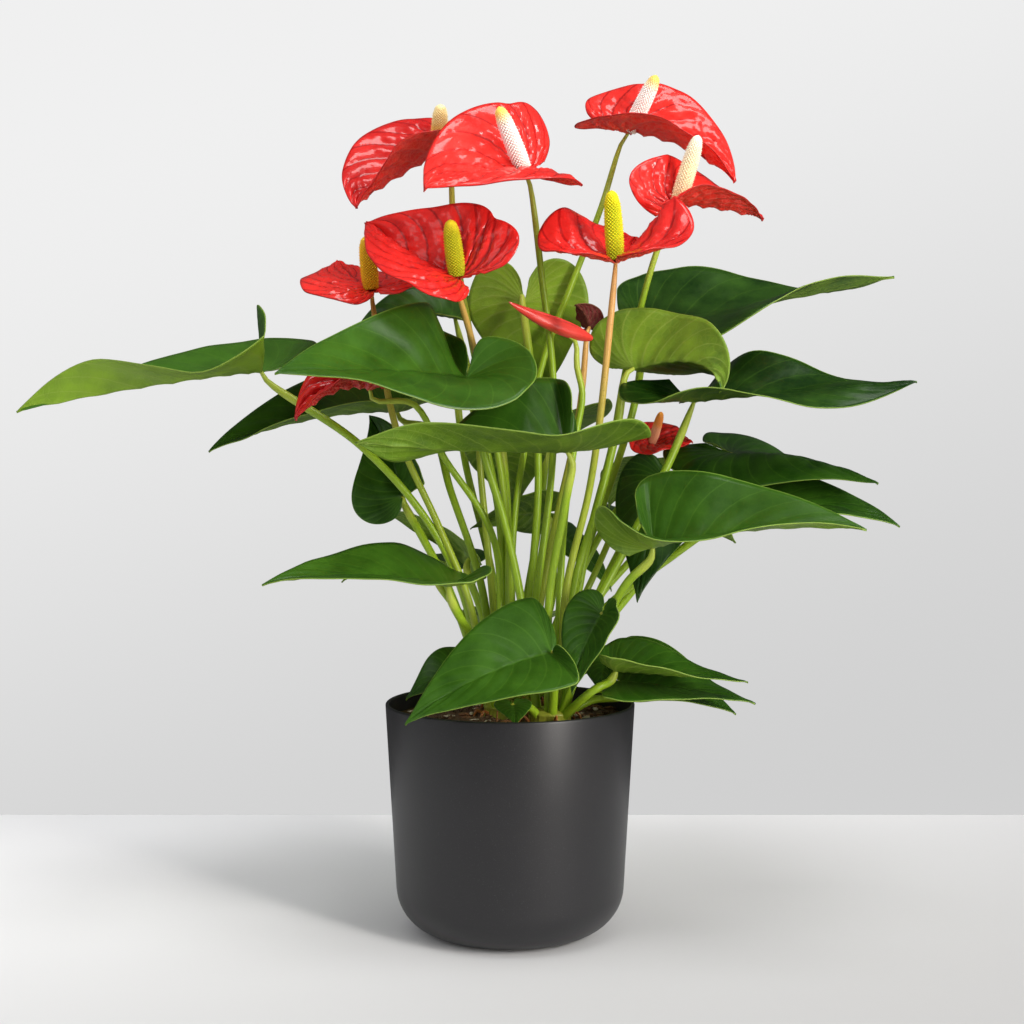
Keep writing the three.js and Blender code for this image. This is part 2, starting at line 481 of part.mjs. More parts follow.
// The soil: a plug that fills the pot, its top crumbly, with a plain hole for each crown.
function soilGeometry() {
  const random = seeded(11);
  const side = sideProfile(POT.wall + SOIL.gap, SOIL.top);
  const edge = side.at(-1)[0];
  const rings = side.map(([radius, z]) => ({ radius, z, relief: 0 }));
  for (let ring = 1; ring < SOIL.rings; ring++) {
    const radius = edge * (1 - ring / SOIL.rings);
    const z = SOIL.top + SOIL.mound * (1 - (radius / edge) ** 2);
    rings.push({ radius, z, relief: SOIL.relief });
  }
  const points = [new THREE.Vector3(0, 0, side[0][1])];
  for (const { radius, z, relief } of rings)
    for (let spoke = 0; spoke < POT.segments; spoke++) {
      const angle = (2 * Math.PI * spoke) / POT.segments;
      const bump = relief * (2 * random() - 1);
      points.push(new THREE.Vector3(radius * Math.cos(angle), radius * Math.sin(angle), z + bump));
    }
  points.push(new THREE.Vector3(0, 0, SOIL.top + SOIL.mound));
  const last = points.length - 1;
  const faces = [];
  for (let spoke = 0; spoke < POT.segments; spoke++) {
    const next = (spoke + 1) % POT.segments;
    faces.push([0, 1 + next, 1 + spoke]);
    for (let ring = 0; ring < rings.length - 1; ring++) {
      const [low, high] = [1 + ring * POT.segments, 1 + (ring + 1) * POT.segments];
      faces.push([low + spoke, low + next, high + next], [low + spoke, high + next, high + spoke]);
    }
    const top = 1 + (rings.length - 1) * POT.segments;
    faces.push([top + spoke, top + next, last]);
  }
  const holeRadius = (CROWN.radius + SOIL.holeGap) / Math.cos(Math.PI / CROWN.sides);
  const holeDepth = CROWN.depth + SOIL.gap;
  return geometryOf(
    Object.values(CROWNS).reduce((soil, [x, y]) => {
      const hole = new THREE.CylinderGeometry(holeRadius, holeRadius, 2 * holeDepth, CROWN.sides);
      hole.rotateX(Math.PI / 2);
      hole.translate(x, y, SOIL.top);
      return soil.subtract(solidOf(hole));
    }, solidOf(meshGeometry(points, faces))),
  );
}

// ---------------------------------------------------------------- the plant

const finish = (color, roughness) => new THREE.MeshStandardMaterial({ color, roughness });
const potPlastic = finish("#3c3d41", 0.55);
const peat = finish("#3a2a20", 0.95);
const leafGreen = finish("#2c5a22", 0.4);
const stemGreen = finish("#7da02c", 0.5);
const spatheRed = finish("#c8201f", 0.25);
const spadixYellow = finish("#e0c53a", 0.6);
const witheredBrown = finish("#7a2a20", 0.8);

const anthurium = new THREE.Group();
function piece(name, geometry, material) {
  const mesh = new THREE.Mesh(geometry, material);
  mesh.name = name;
  anthurium.add(mesh);
}

piece("pot", potGeometry(), potPlastic);
piece("soil", soilGeometry(), peat);
for (const name of Object.keys(CROWNS)) piece(`stems_${name}`, crownGeometry(name), stemGreen);
for (const [name, leaf] of Object.entries(LEAVES)) {
  const [rows, columns] = leaf.length > BIG_LEAF ? BIG_GRID : SMALL_GRID;
  piece(`leaf_${name}`, bladeGeometry(leaf, LEAF_OUTLINE, LEAF_THICKNESS, rows, columns), leafGreen);
}
for (const [name, flower] of Object.entries(FLOWERS)) {
  piece(`spathe_${name}`, bladeGeometry(flower, SPATHE_OUTLINE, SPATHE_THICKNESS, ...BIG_GRID), spatheRed);
  if (flower.spadix) piece(`spadix_${name}`, spadixGeometry(flower), spadixYellow);
}
piece("bud", budGeometry(), spatheRed);
const shrivelled = bladeGeometry(WITHERED, SPATHE_OUTLINE, SPATHE_THICKNESS, ...SMALL_GRID);
piece("withered_bloom", shrivelled, witheredBrown);

export default anthurium;
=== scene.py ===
# A potted anthurium in flower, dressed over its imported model: leathery heart-shaped leaves on green
# petioles, red waxy spathes with their spadices, peat soil and an anthracite plastic pot.
# The plan of the plant is in millimetres, as on a grower's drawing, and MM turns it to metres.

import bpy
import math
import random
from mathutils import Matrix, Vector, noise


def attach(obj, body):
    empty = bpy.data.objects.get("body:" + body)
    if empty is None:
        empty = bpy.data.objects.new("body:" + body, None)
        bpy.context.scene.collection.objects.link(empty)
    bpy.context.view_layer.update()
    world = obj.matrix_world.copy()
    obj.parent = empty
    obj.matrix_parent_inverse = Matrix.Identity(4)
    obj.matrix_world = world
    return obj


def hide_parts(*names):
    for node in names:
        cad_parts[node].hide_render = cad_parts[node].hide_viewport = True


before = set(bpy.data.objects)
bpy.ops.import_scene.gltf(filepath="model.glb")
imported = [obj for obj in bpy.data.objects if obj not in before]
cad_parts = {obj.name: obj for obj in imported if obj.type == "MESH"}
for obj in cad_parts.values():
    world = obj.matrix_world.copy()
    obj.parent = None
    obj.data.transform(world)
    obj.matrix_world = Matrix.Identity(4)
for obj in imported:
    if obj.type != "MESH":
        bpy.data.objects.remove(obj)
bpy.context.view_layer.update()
bpy.ops.object.select_all(action="DESELECT")

MM = 0.001
UP = Vector((0, 0, 1))

# ---------------------------------------------------------------- sizes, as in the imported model

POT = {"height": 164, "rim": 90, "foot": 80.6, "corner": 32, "wall": 2.8}
SOIL = {"top": 152, "mound": 3, "gap": 0.3}
CROWN = {"depth": 38, "radius": 15, "height": 14}
LEAF_THICKNESS, SPATHE_THICKNESS = 0.7, 0.8
BLADE_GAP = 0.6
PETIOLE = {"foot": 3.4, "middle": 2.8, "neck": 3.1, "end": 1.4}
STALK = {"foot": 3.0, "middle": 2.5, "neck": 2.3, "end": 1.3}
NECK = 7
STEM_RINGS = 44
FOOT_SPREAD, FOOT_RISE = 9, 6
SPADIX = {"radius": 6, "rise": 1.5}
SPADIX_PROFILE = [(0.84, 0), (0.98, 0), (1.0, 0), (0.96, 0), (0.86, 0), (0.72, 0)]
FAN_SHARE = 5 / 11
RIB_POWER = 1.5
CUPPING = 1.35
GENTLE, STEEPEST = 0.8, 0.96

LEAF_OUTLINE = [
    (-0.17, 0.035), (-0.27, 0.09), (-0.315, 0.18), (-0.29, 0.28), (-0.2, 0.36), (-0.05, 0.405),
    (0.12, 0.4), (0.32, 0.34), (0.53, 0.24), (0.74, 0.125), (0.9, 0.04), (1, 0)]
SPATHE_OUTLINE = [
    (-0.12, 0.03), (-0.21, 0.1), (-0.25, 0.21), (-0.21, 0.33), (-0.11, 0.43), (0.04, 0.49),
    (0.22, 0.49), (0.42, 0.43), (0.6, 0.325), (0.78, 0.19), (0.92, 0.07), (1, 0)]

# ---------------------------------------------------------------- the plant's plan

CROWNS = {"left": [-4, -8], "right": [28, -36], "back": [2, 34]}

LEAVES = {
    "far_left": {"crown": "left", "joint": [-179, 0, 402], "tip": [-342, -40, 372], "length": 172,
        "lobes": [0.1, 0.9], "bow": [0.5, 0.03, 0], "a": [8, 46, 36, 3, 24], "b": [3, 18, 26, 26, 12],
        "via": [[-107, -20, 350], [-62, -16, 300], [-36, -12, 250]]},
    "left_big": {"crown": "right", "joint": [-31, -35, 396], "tip": [-148, -135, 393], "length": 158,
        "wide": 0.9, "bow": [0.5, 0.04, 0], "lobes": [0.65, 0.3], "a": [30, 26, -4, -26, -8],
        "b": [14, 28, 38, 54, 22], "via": [[-18, -30, 342], [-4, -28, 295], [8, -28, 239]]},
    "front_middle": {"crown": "right", "joint": [39, -62, 344], "tip": [-100, -110, 350], "length": 152,
        "lobes": [1, 0.5], "bow": [0.5, -0.03, 0], "a": [3, 10, 20, 12, 17], "b": [10, 44, 51, 46, -8],
        "via": [[40, -58, 321], [36, -52, 298], [27, -44, 240]]},
    "centre_back": {"crown": "back", "joint": [11, 68, 459], "tip": [30, 132, 390], "length": 104,
        "wide": 1.15, "bow": [0.3, -0.25, 0], "a": [0, 5, 8, 5, 0], "b": [0, 5, 8, 5, 0],
        "via": [[16, 46, 403], [21, 36, 327], [15, 28, 235]]},
    "right_light": {"crown": "right", "joint": [90, 14, 405], "tip": [145, -45, 385], "length": 114,
        "lobes": [0.8, 0.9], "bow": [0.75, 0.26, 0.1], "roll": -58, "a": [11, 37, 41, 34, 12],
        "b": [2, 7, 22, 38, 16], "via": [[79, 15, 368], [67, 5, 318], [46, -15, 250]]},
    "back_right": {"crown": "back", "joint": [110, 118, 447], "tip": [295, 78, 479], "length": 194,
        "bow": [0.5, -0.02, 0], "lobes": [0.55, 0.4], "a": [5, 34, 46, 46, 6],
        "b": [-2, -13, -26, -28, 6], "via": [[97, 85, 385], [77, 60, 323], [42, 36, 235]]},
    "right": {"crown": "right", "joint": [134, 14, 381], "tip": [277, -58, 392], "length": 158,
        "bow": [0.5, 0, 0], "lobes": [0.4, 0.9], "a": [0, 4, 13, 37, 6], "b": [18, 16, -2, 4, -15],
        "via": [[116, 5, 339], [86, -5, 281], [49, -25, 211]]},
    "right_mid": {"crown": "right", "joint": [167, 50, 344], "tip": [258, -30, 322], "length": 130,
        "a": [8, 16, 14, -6, -4], "b": [8, 6, -12, -28, -10],
        "via": [[134, 56, 288], [92, 30, 243], [50, -12, 195]]},
    "right_behind": {"crown": "back", "joint": [162, 2, 309], "tip": [274, -28, 292], "length": 120,
        "wide": 0.95, "lobes": [0.4, 0.4], "a": [0, 8, 14, 22, 12], "b": [0, -5, -8, -8, -2],
        "via": [[123, 12, 272], [80, 12, 240], [40, 20, 200]]},
    "right_front": {"crown": "right", "joint": [97, -65, 279], "tip": [228, -125, 294], "length": 145,
        "bow": [0.5, 0.08, 0], "lobes": [0.45, 0.66], "a": [12, 35, 49, 47, 20],
        "b": [-2, 20, 33, 0, 4], "via": [[81, -60, 256], [66, -52, 230], [45, -44, 196]]},
    "right_glossy": {"crown": "right", "joint": [114, 28, 324], "tip": [90, -22, 238], "length": 98,
        "wide": 0.9, "lobes": [0.2, 0.6], "bow": [0.5, 0.08, 0], "a": [0, -2, -20, -20, -4],
        "b": [3, 12, 4, 0, 0], "via": [[96, 31, 296], [72, 16, 256], [50, -12, 210]]},
    "low_left": {"crown": "left", "joint": [-42, -68, 253], "tip": [-162, -104, 257], "length": 134,
        "lobes": [0.5, 0.6], "a": [8, 20, 12, 0, 0], "b": [4, 9, 12, 22, 11],
        "via": [[-35, -58, 232], [-22, -36, 208]]},
    "low_left_behind": {"crown": "back", "joint": [-31, 62, 264], "tip": [-104, 95, 299], "length": 96,
        "wide": 0.8, "lobes": [0.5, 0.5], "roll": 32, "a": [0, 0, 0, 0, 0], "b": [0, 0, 0, 0, 0],
        "via": [[-22, 48, 225]]},
    "front_low": {"crown": "right", "joint": [28, -74, 209], "tip": [-69, -102, 165], "length": 122,
        "wide": 0.88, "roll": -40, "lobes": [0.2, 0.2], "a": [10, 12, 14, 12, 3],
        "b": [0, 5, 10, 12, 5], "via": [[31, -58, 190]]},
    "low_behind_front": {"crown": "left", "joint": [-42, 8, 187], "tip": [-76, 5, 164], "length": 46,
        "roll": -30, "a": [0, 0, 0, 0, 0], "b": [0, 0, 5, 8, 0], "via": [[-26, 2, 176]]},
    "low_right_front": {"crown": "right", "joint": [73, -57, 194], "tip": [161, -72, 189], "length": 95,
        "wide": 0.9, "bow": [0.5, 0, 0], "lobes": [0.5, 0.5], "a": [3, 10, 17, 19, 4],
        "b": [4, 14, 14, 11, 2], "via": [[58, -62, 182]]},
    "low_right_middle": {"crown": "right", "joint": [77, -34, 184], "tip": [168, -60, 172],
        "length": 103, "bow": [0.5, 0.03, 0], "lobes": [0.5, 0.2], "a": [3, 15, 25, 28, 5],
        "b": [0, -4, -6, -6, 0], "via": [[60, -36, 178]]},
    "low_right_back": {"crown": "right", "joint": [86, -4, 176], "tip": [158, -38, 161], "length": 88,
        "lobes": [0.5, 0.3], "a": [0, 5, 8, 10, 6], "b": [0, -3, -4, -4, -1], "via": [[57, -22, 168]]},
    "low_dark": {"crown": "back", "joint": [70, 34, 190], "tip": [66, 12, 167], "length": 42,
        "a": [0, 2, 3, 2, 0], "b": [0, 2, 3, 2, 0], "via": [[45, 34, 178]]},
    "low_middle": {"crown": "right", "joint": [62, -66, 234], "tip": [42, -78, 181], "length": 74,
        "wide": 0.85, "roll": -30, "lobes": [0.6, 0.6], "a": [5, 14, 18, 12, 3], "b": [0, 0, 0, 0, 0],
        "via": [[54, -58, 212]]},
    "at_soil": {"crown": "right", "joint": [2, -58, 171], "tip": [4, -80, 160], "length": 32,
        "a": [0, 0, 0, 0, 0], "b": [0, 0, 0, 0, 0], "via": [[12, -50, 168]]},
    "centre_under": {"crown": "back", "joint": [27, 80, 298], "tip": [-31, 74, 286], "length": 80,
        "lobes": [0.6, 0.6], "roll": 32, "a": [0, 0, 0, 0, 0], "b": [0, 0, 0, 0, 0],
        "via": [[18, 64, 242]]},
    "centre_right": {"crown": "back", "joint": [42, 98, 279], "tip": [80, 94, 236], "length": 66,
        "lobes": [0.5, 0.5], "roll": 20, "a": [0, 0, 0, 0, 0], "b": [0, 0, 0, 0, 0],
        "via": [[32, 74, 230]]},
    "left_folded": {"crown": "left", "joint": [-79, 25, 312], "tip": [-106, 50, 372], "length": 92,
        "roll": -40, "lobes": [0.6, 0.4], "a": [0, 0, 0, 0, 0], "b": [8, 30, 36, 34, 18],
        "via": [[-64, 15, 282], [-44, 2, 245]]},
    "left_low": {"crown": "left", "joint": [-85, 48, 375], "tip": [-223, 30, 345], "length": 145,
        "lobes": [0.6, 0.6], "a": [5, 8, 8, 6, 0], "b": [5, 20, 32, 40, 20],
        "via": [[-59, 40, 361], [-44, 22, 317], [-20, 4, 244]]},
    "left_behind": {"crown": "back", "joint": [-43, 92, 449], "tip": [-119, 112, 446], "length": 98,
        "lobes": [0.5, 0.5], "a": [0, 0, 0, 0, 0], "b": [0, 4, 14, 24, 20],
        "via": [[-27, 66, 384], [-8, 44, 294]]},
    "back_hanging": {"crown": "back", "joint": [-4, 82, 348], "tip": [5, 130, 300], "length": 80,
        "bow": [0.3, -0.1, 0], "a": [0, 0, 0, 0, 0], "b": [0, 0, 0, 0, 0], "via": [[-2, 44, 300]]},
    "right_dark": {"crown": "back", "joint": [101, 100, 333], "tip": [80, 138, 300], "length": 75,
        "a": [0, 0, 0, 0, 0], "b": [0, 0, 0, 0, 0], "via": [[68, 66, 280]]},
    "rear_high": {"crown": "back", "joint": [-45, 115, 408], "tip": [-105, 235, 384], "length": 146,
        "lobes": [0.7, 0.7], "a": [4, 12, 18, 10, 4], "b": [4, 12, 18, 10, 4],
        "via": [[-36, 104, 340], [-14, 84, 250]]},
    "rear_middle": {"crown": "back", "joint": [30, 115, 368], "tip": [40, 230, 346], "length": 130,
        "lobes": [0.6, 0.6], "a": [4, 12, 18, 10, 4], "b": [4, 12, 18, 10, 4],
        "via": [[23, 118, 290], [12, 92, 225]]},
    "rear_right": {"crown": "back", "joint": [118, 150, 285], "tip": [195, 220, 268], "length": 118,
        "a": [4, 12, 18, 10, 4], "b": [4, 12, 18, 10, 4], "via": [[74, 124, 232], [38, 92, 188]]},
    "rear_low": {"crown": "back", "joint": [5, 105, 205], "tip": [-15, 205, 178], "length": 112,
        "lobes": [0.5, 0.5], "a": [4, 12, 18, 10, 4], "b": [4, 12, 18, 10, 4], "via": [[4, 72, 188]]},
    "rear_left": {"crown": "back", "joint": [-60, 105, 250], "tip": [-140, 165, 238], "length": 106,
        "a": [4, 12, 18, 10, 4], "b": [4, 12, 18, 10, 4], "via": [[-28, 76, 205]]}}

FLOWERS = {
    "top_right": {"crown": "back", "joint": [90, 75, 588], "tip": [167, 43, 545], "length": 95,
        "bow": [0.5, 0.14, 0], "lobes": [2.1, 1.5], "a": [4, 26, 42, 42, 22], "b": [0, -4, 2, 11, 8],
        "spadix": [110, 55, 627],
        "via": [[69, 66, 530], [46, 57, 470], [26, 60, 417], [10, 56, 342], [2, 44, 279]]},
    "upper_right": {"crown": "right", "joint": [121, 16, 523], "tip": [190, 54, 519], "length": 84,
        "bow": [0.5, 0.05, 0], "roll": 15, "lobes": [1.7, 1], "a": [-8, 18, 34, 28, 12],
        "b": [0, 4, 18, 14, 5], "spadix": [136, 10, 573],
        "via": [[106, 24, 487], [86, 44, 404], [75, 26, 349], [56, -4, 280]]},
    "middle_right": {"crown": "right", "joint": [72, -55, 473], "tip": [92, 22, 500], "length": 95,
        "wide": 1.25, "bow": [0.5, -0.1, 0], "lobes": [1.4, 1.4], "a": [3, 7, 14, 38, 20],
        "b": [3, 6, 15, 42, 14], "spadix": [69, -55, 522],
        "via": [[62, -45, 366], [55, -35, 316], [39, -34, 245]]},
    "top_centre": {"crown": "left", "joint": [11, -10, 542], "tip": [-57, -75, 519], "length": 104,
        "wide": 1.14, "bow": [0.5, 0.08, 0], "lobes": [0.4, 2], "a": [-2, -10, -16, -10, -6],
        "b": [10, 49, 56, 44, 14], "spadix": [-8, -35, 583],
        "via": [[23, 0, 468], [31, 8, 402], [31, 8, 341], [20, 0, 250]]},
    "top_left": {"crown": "back", "joint": [-53, 40, 565], "tip": [-111, 10, 521], "length": 98,
        "wide": 1.1, "bow": [0.75, 0.02, -0.15], "lobes": [0.5, 1.2], "a": [0, 0, 14, 24, 10],
        "b": [4, 14, 30, 38, 24], "spadix": [-51, 31, 600],
        "via": [[-41, 30, 501], [-27, 22, 419], [-9, 28, 342], [0, 34, 261]]},
    "middle_left": {"crown": "left", "joint": [-36, -45, 463], "tip": [-105, 15, 510], "length": 104,
        "bow": [0.5, -0.05, 0], "lobes": [1, 1.8], "a": [-6, -10, -8, -4, 0], "b": [10, 40, 50, 56, 40],
        "spadix": [-41, -50, 503],
        "via": [[-22, -2, 399], [-22, 0, 342], [-17, 0, 285], [-11, -4, 215]]},
    "left": {"crown": "left", "joint": [-100, 8, 460], "tip": [-133, 78, 490], "length": 98,
        "bow": [0.5, -0.05, 0], "a": [-2, -5, -3, 0, 0], "b": [0, 8, 16, 10, 2],
        "spadix": [-104, 6, 500],
        "via": [[-95, -6, 432], [-80, -18, 359], [-50, -16, 290], [-30, -14, 240]]},
    "hidden_left": {"crown": "left", "joint": [-98, -30, 388], "tip": [-146, -58, 366], "length": 66,
        "bow": [0.4, 0.2, 0], "a": [2, 6, 12, 14, 6], "b": [3, 12, 24, 28, 16],
        "via": [[-68, -26, 378], [-47, -22, 341], [-11, -14, 280]]},
    "small_right": {"crown": "back", "joint": [107, 60, 350], "tip": [136, 40, 352], "length": 58,
        "wide": 1.1, "bow": [0.5, -0.1, 0], "lobes": [1.5, 0.8], "a": [4, 12, 16, 12, 4],
        "b": [4, 9, 1, -6, -2], "spadix": [114, 52, 375], "thin": 0.55,
        "via": [[88, 56, 309], [55, 30, 238]]}}

BUD = {"crown": "right", "joint": [42, -3, 423.6], "tip": [46, 0, 444], "length": 20,
    "ends": [[60, 6, 426], [20, -14, 437], [-1, -30, 449]], "radius": 5.6,
    "via": [[48, 0, 406], [52, 0, 386], [47, -6, 355], [38, -18, 290]]}
WITHERED = {"crown": "back", "joint": [59, 38, 437], "tip": [48, 30, 453], "length": 26,
    "bow": [0.5, 0.2, 0], "lobes": [0.5, 0.5], "roll": 30, "a": [0, 3, 9, 8, 3], "b": [0, 4, 9, 7, 3],
    "via": [[54, 34, 397], [49, 30, 361], [30, 28, 275]]}

# ---------------------------------------------------------------- small tools

def colour(hex_code):
    """The linear colour of an sRGB hex value, with alpha."""
    channels = [int(hex_code[i:i + 2], 16) / 255 for i in (1, 3, 5)]
    return [c / 12.92 if c <= 0.04045 else ((c + 0.055) / 1.055) ** 2.4 for c in channels] + [1]


def add(tree, kind, sockets=(), **settings):
    """Adds a shader node with its settings, and fills its sockets with values or links."""
    made = tree.nodes.new("ShaderNode" + kind)
    for name, value in settings.items():
        setattr(made, name, value)
    for key, value in dict(sockets).items():
        if isinstance(value, bpy.types.Node):
            value = next(socket for socket in value.outputs if socket.enabled)
        if isinstance(value, bpy.types.NodeSocket):
            tree.links.new(value, made.inputs[key])
        else:
            made.inputs[key].default_value = value
    return made


def new_finish(name, roughness, ior=1.45, coat=0.0, coat_roughness=0.1, specular=0.5):
    """A material with its tree and its shader, whose constant values are on its own sockets."""
    material = bpy.data.materials.new(name)
    material.use_nodes = True
    tree = material.node_tree
    shader = tree.nodes["Principled BSDF"]
    for socket, value in {"Roughness": roughness, "IOR": ior, "Specular IOR Level": specular,
                          "Coat Weight": coat, "Coat Roughness": coat_roughness}.items():
        shader.inputs[socket].default_value = value
    return material, tree, shader


def active():
    return bpy.context.view_layer.objects.active


def pick(*pieces):
    """Selects these pieces and nothing else, with the first as the active one."""
    bpy.ops.object.select_all(action="DESELECT")
    for piece in pieces:
        piece.select_set(True)
    bpy.context.view_layer.objects.active = pieces[0]


def settle(piece, name, material, slot, *nodes):
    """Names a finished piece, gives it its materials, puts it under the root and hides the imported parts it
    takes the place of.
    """
    piece.name = piece.data.name = name
    if material:
        piece.data.materials.clear()
        for each in material if isinstance(material, list) else [material]:
            piece.data.materials.append(each)
    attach(piece, "root")
    if nodes:
        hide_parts(*nodes)
    return piece


def apply_modifier(piece, kind, **settings):
    pick(piece)
    modifier = piece.modifiers.new(kind.title(), kind)
    for name, value in settings.items():
        setattr(modifier, name, value)
    bpy.ops.object.modifier_apply(modifier=modifier.name)


def merge_doubles(piece, distance=1e-6):
    pick(piece)
    bpy.ops.object.mode_set(mode="EDIT")
    bpy.ops.mesh.select_all(action="SELECT")
    bpy.ops.mesh.remove_doubles(threshold=distance)
    bpy.ops.mesh.dissolve_degenerate(threshold=distance)
    bpy.ops.mesh.select_all(action="DESELECT")
    bpy.ops.object.mode_set(mode="OBJECT")


def shaped_grid(columns, rows, place):
    """A grid whose vertex at (column, row) is moved to place(column, row), in millimetres."""
    bpy.ops.mesh.primitive_grid_add(x_subdivisions=columns, y_subdivisions=rows, size=1, location=(0, 0, 0))
    piece = active()
    spots = [(round((v.co.x + 0.5) * columns), round((v.co.y + 0.5) * rows)) for v in piece.data.vertices]
    for vertex, spot in zip(piece.data.vertices, spots):
        vertex.co = place(*spot) * MM
    piece.data.update()
    return piece, spots


def smooth(piece, angle=None):
    pick(piece)
    if angle is None:
        bpy.ops.object.shade_smooth()
    else:
        bpy.ops.object.shade_smooth_by_angle(angle=math.radians(angle))


def scalar(piece, name, values):
    """A value on each vertex, which a material reads by name."""
    piece.data.attributes.new(name, "FLOAT", "POINT").data.foreach_set("value", values)


def spline(points, share):
    """The point at a share of the way along an even Catmull-Rom curve."""
    last = len(points) - 1
    at = min(int(share * last), last - 1) if share < 1 else last
    t = share * last - at
    a, b, c, d = (Vector(points[max(0, min(last, at + i))]) for i in (-1, 0, 1, 2))
    start, end = (c - a) * 0.5, (d - b) * 0.5
    return (2 * b - 2 * c + start + end) * t ** 3 + (3 * c - 3 * b - 2 * start - end) * t * t + start * t + b


def near_spline(points, share):
    """As spline, but centripetal, which keeps close to uneven points."""
    points = [Vector(p) for p in points]
    points = [2 * points[0] - points[1], *points, 2 * points[-1] - points[-2]]
    last = len(points) - 3
    at = min(int(share * last), last - 1)
    t = share * last - at
    a, b, c, d = points[at:at + 4]
    before, here, after = ((q - p).length ** 0.5 for p, q in ((a, b), (b, c), (c, d)))
    start = ((b - a) / before - (c - a) / (before + here) + (c - b) / here) * here
    end = ((c - b) / here - (d - b) / (here + after) + (d - c) / after) * here
    return (2 * b - 2 * c + start + end) * t ** 3 + (3 * c - 3 * b - 2 * start - end) * t * t + start * t + b


def evenly(curve, count):
    """That many points at even distances along curve(share)."""
    fine = [curve(i / 300) for i in range(301)]
    lengths = [0.0]
    for a, b in zip(fine, fine[1:]):
        lengths.append(lengths[-1] + (b - a).length)
    points, at = [], 0
    for i in range(count):
        want = lengths[-1] * i / (count - 1)
        while at < 299 and lengths[at + 1] < want:
            at += 1
        step = (want - lengths[at]) / max(1e-9, lengths[at + 1] - lengths[at])
        points.append(fine[at].lerp(fine[at + 1], min(1, step)))
    return points


# ---------------------------------------------------------------- blades

def rib_frame(blade, x):
    """The midrib's point at x, and the directions ahead, across towards half a, and above."""
    joint, tip = Vector(blade["joint"]), Vector(blade["tip"])
    chord = tip - joint
    level = UP.cross(chord).normalized()
    lift = chord.cross(level).normalized()
    along, up, sideways = blade.get("bow", (0.5, 0.1, 0))
    length = blade["length"]
    control = chord * along + lift * (up * length) + level * (sideways * length)
    at = max(0, x)
    centre = control * (2 * at * (1 - at)) + chord * (at * at)
    ahead = (control * (2 - 4 * at) + chord * (2 * at)).normalized()
    centre += ahead * (min(0, x) * length) + joint
    turn = math.radians(blade.get("roll", 0) + blade.get("twist", 0) * at)
    flat = (level - ahead * level.dot(ahead)).normalized()
    across = flat * math.cos(turn) + ahead.cross(flat) * math.sin(turn)
    return centre, ahead, across, ahead.cross(across)


def edge_facts(blade, outline, side, k):
    """For one row of a half: its foot on the midrib, its end, its reach and its steepness."""
    x, y = spline(outline, k)
    if x < 0:
        x *= blade.get("lobes", (1, 1))[0 if side > 0 else 1]
    y *= blade.get("wide", 1)
    rib = max(0, (k - FAN_SHARE) / (1 - FAN_SHARE)) ** RIB_POWER
    reach = math.hypot(x - rib, y) * blade["length"]
    heights = [(i, h) for i, h in enumerate([*(blade["a"] if side > 0 else blade["b"]), 0])]
    rise = spline(heights, k)[1]
    sine = rise / reach if reach else 0
    if abs(sine) > GENTLE:
        room = STEEPEST - GENTLE
        sine = math.copysign(GENTLE + room * math.tanh((abs(sine) - GENTLE) / room), sine)
    return x, y, rib, reach, sine


def blade_point(blade, facts, side, v):
    """A point of the blade's middle surface, v of the way from the midrib to the margin."""
    x, y, rib, reach, sine = facts
    level = math.sqrt(1 - sine * sine) * v
    centre, _, across, above = rib_frame(blade, rib + (x - rib) * level)
    return centre + across * (side * y * level * blade["length"]) + above * (sine * reach * v ** CUPPING)


def blade_piece(blade, outline, rows, columns, thickness, relief, materials):
    """A closed blade with its veins in relief, in three materials: upper side, underside and margin."""
    facts = {(side, row): edge_facts(blade, outline, side, row / rows)
             for side in (1, -1) for row in range(rows + 1)}

    def parts(column, row):
        side = 1 if column < columns else -1
        return side, facts[side, row], abs(column - columns) / columns

    def place(column, row):
        side, fact, v = parts(column, row)
        return blade_point(blade, fact, side, v)

    piece, spots = shaped_grid(2 * columns, rows, place)
    mesh = piece.data
    ids = {spot: i for i, spot in enumerate(spots)}
    spread, reach, flat = [], [], []
    for column, row in spots:
        side, fact, v = parts(column, row)
        low, high = max(0, row - 1), min(rows, row + 1)
        gap = (mesh.vertices[ids[column, high]].co - mesh.vertices[ids[column, low]].co).length
        spread.append(gap / MM / (high - low) * rows)
        reach.append(fact[3])
        x = fact[2] + (fact[0] - fact[2]) * v
        flat.append((x * blade["length"], side * fact[1] * v * blade["length"]))
    normals = [vertex.normal.copy() for vertex in mesh.vertices]
    seed = (blade["joint"][0] * 0.37, blade["joint"][2] * 0.11)
    rows_of_facts = zip(mesh.vertices, spots, normals, spread, reach, flat)
    for vertex, (column, row), normal, pitch, far, (x, y) in rows_of_facts:
        side, fact, v = parts(column, row)
        vertex.co += normal * relief(row / rows, v, side, pitch, far, x, y, seed) * MM
    scalar(piece, "spread", spread)
    scalar(piece, "reach", reach)
    drawing = mesh.uv_layers.new(name="Flat")
    drawing.data.foreach_set("uv", [c for loop in mesh.loops for c in flat[loop.vertex_index]])
    for material in materials:
        mesh.materials.append(material)
    merge_doubles(piece)
    apply_modifier(piece, "SOLIDIFY", thickness=thickness * MM, offset=0, use_even_offset=False,
                   material_offset=1, material_offset_rim=2)
    smooth(piece)
    return piece


LEAF_VEINS, LEAF_BEND = 15, 1.3  # side veins of a half, and how far they lean towards the tip
SPATHE_VEINS, SPATHE_BEND = 10, 1.9


def vein_share(k, v, count, bend):
    """How far a place is from the nearest side vein, as a share of the gap between two."""
    turn = (k * count - bend * v * v) % 1
    return min(turn, 1 - turn)


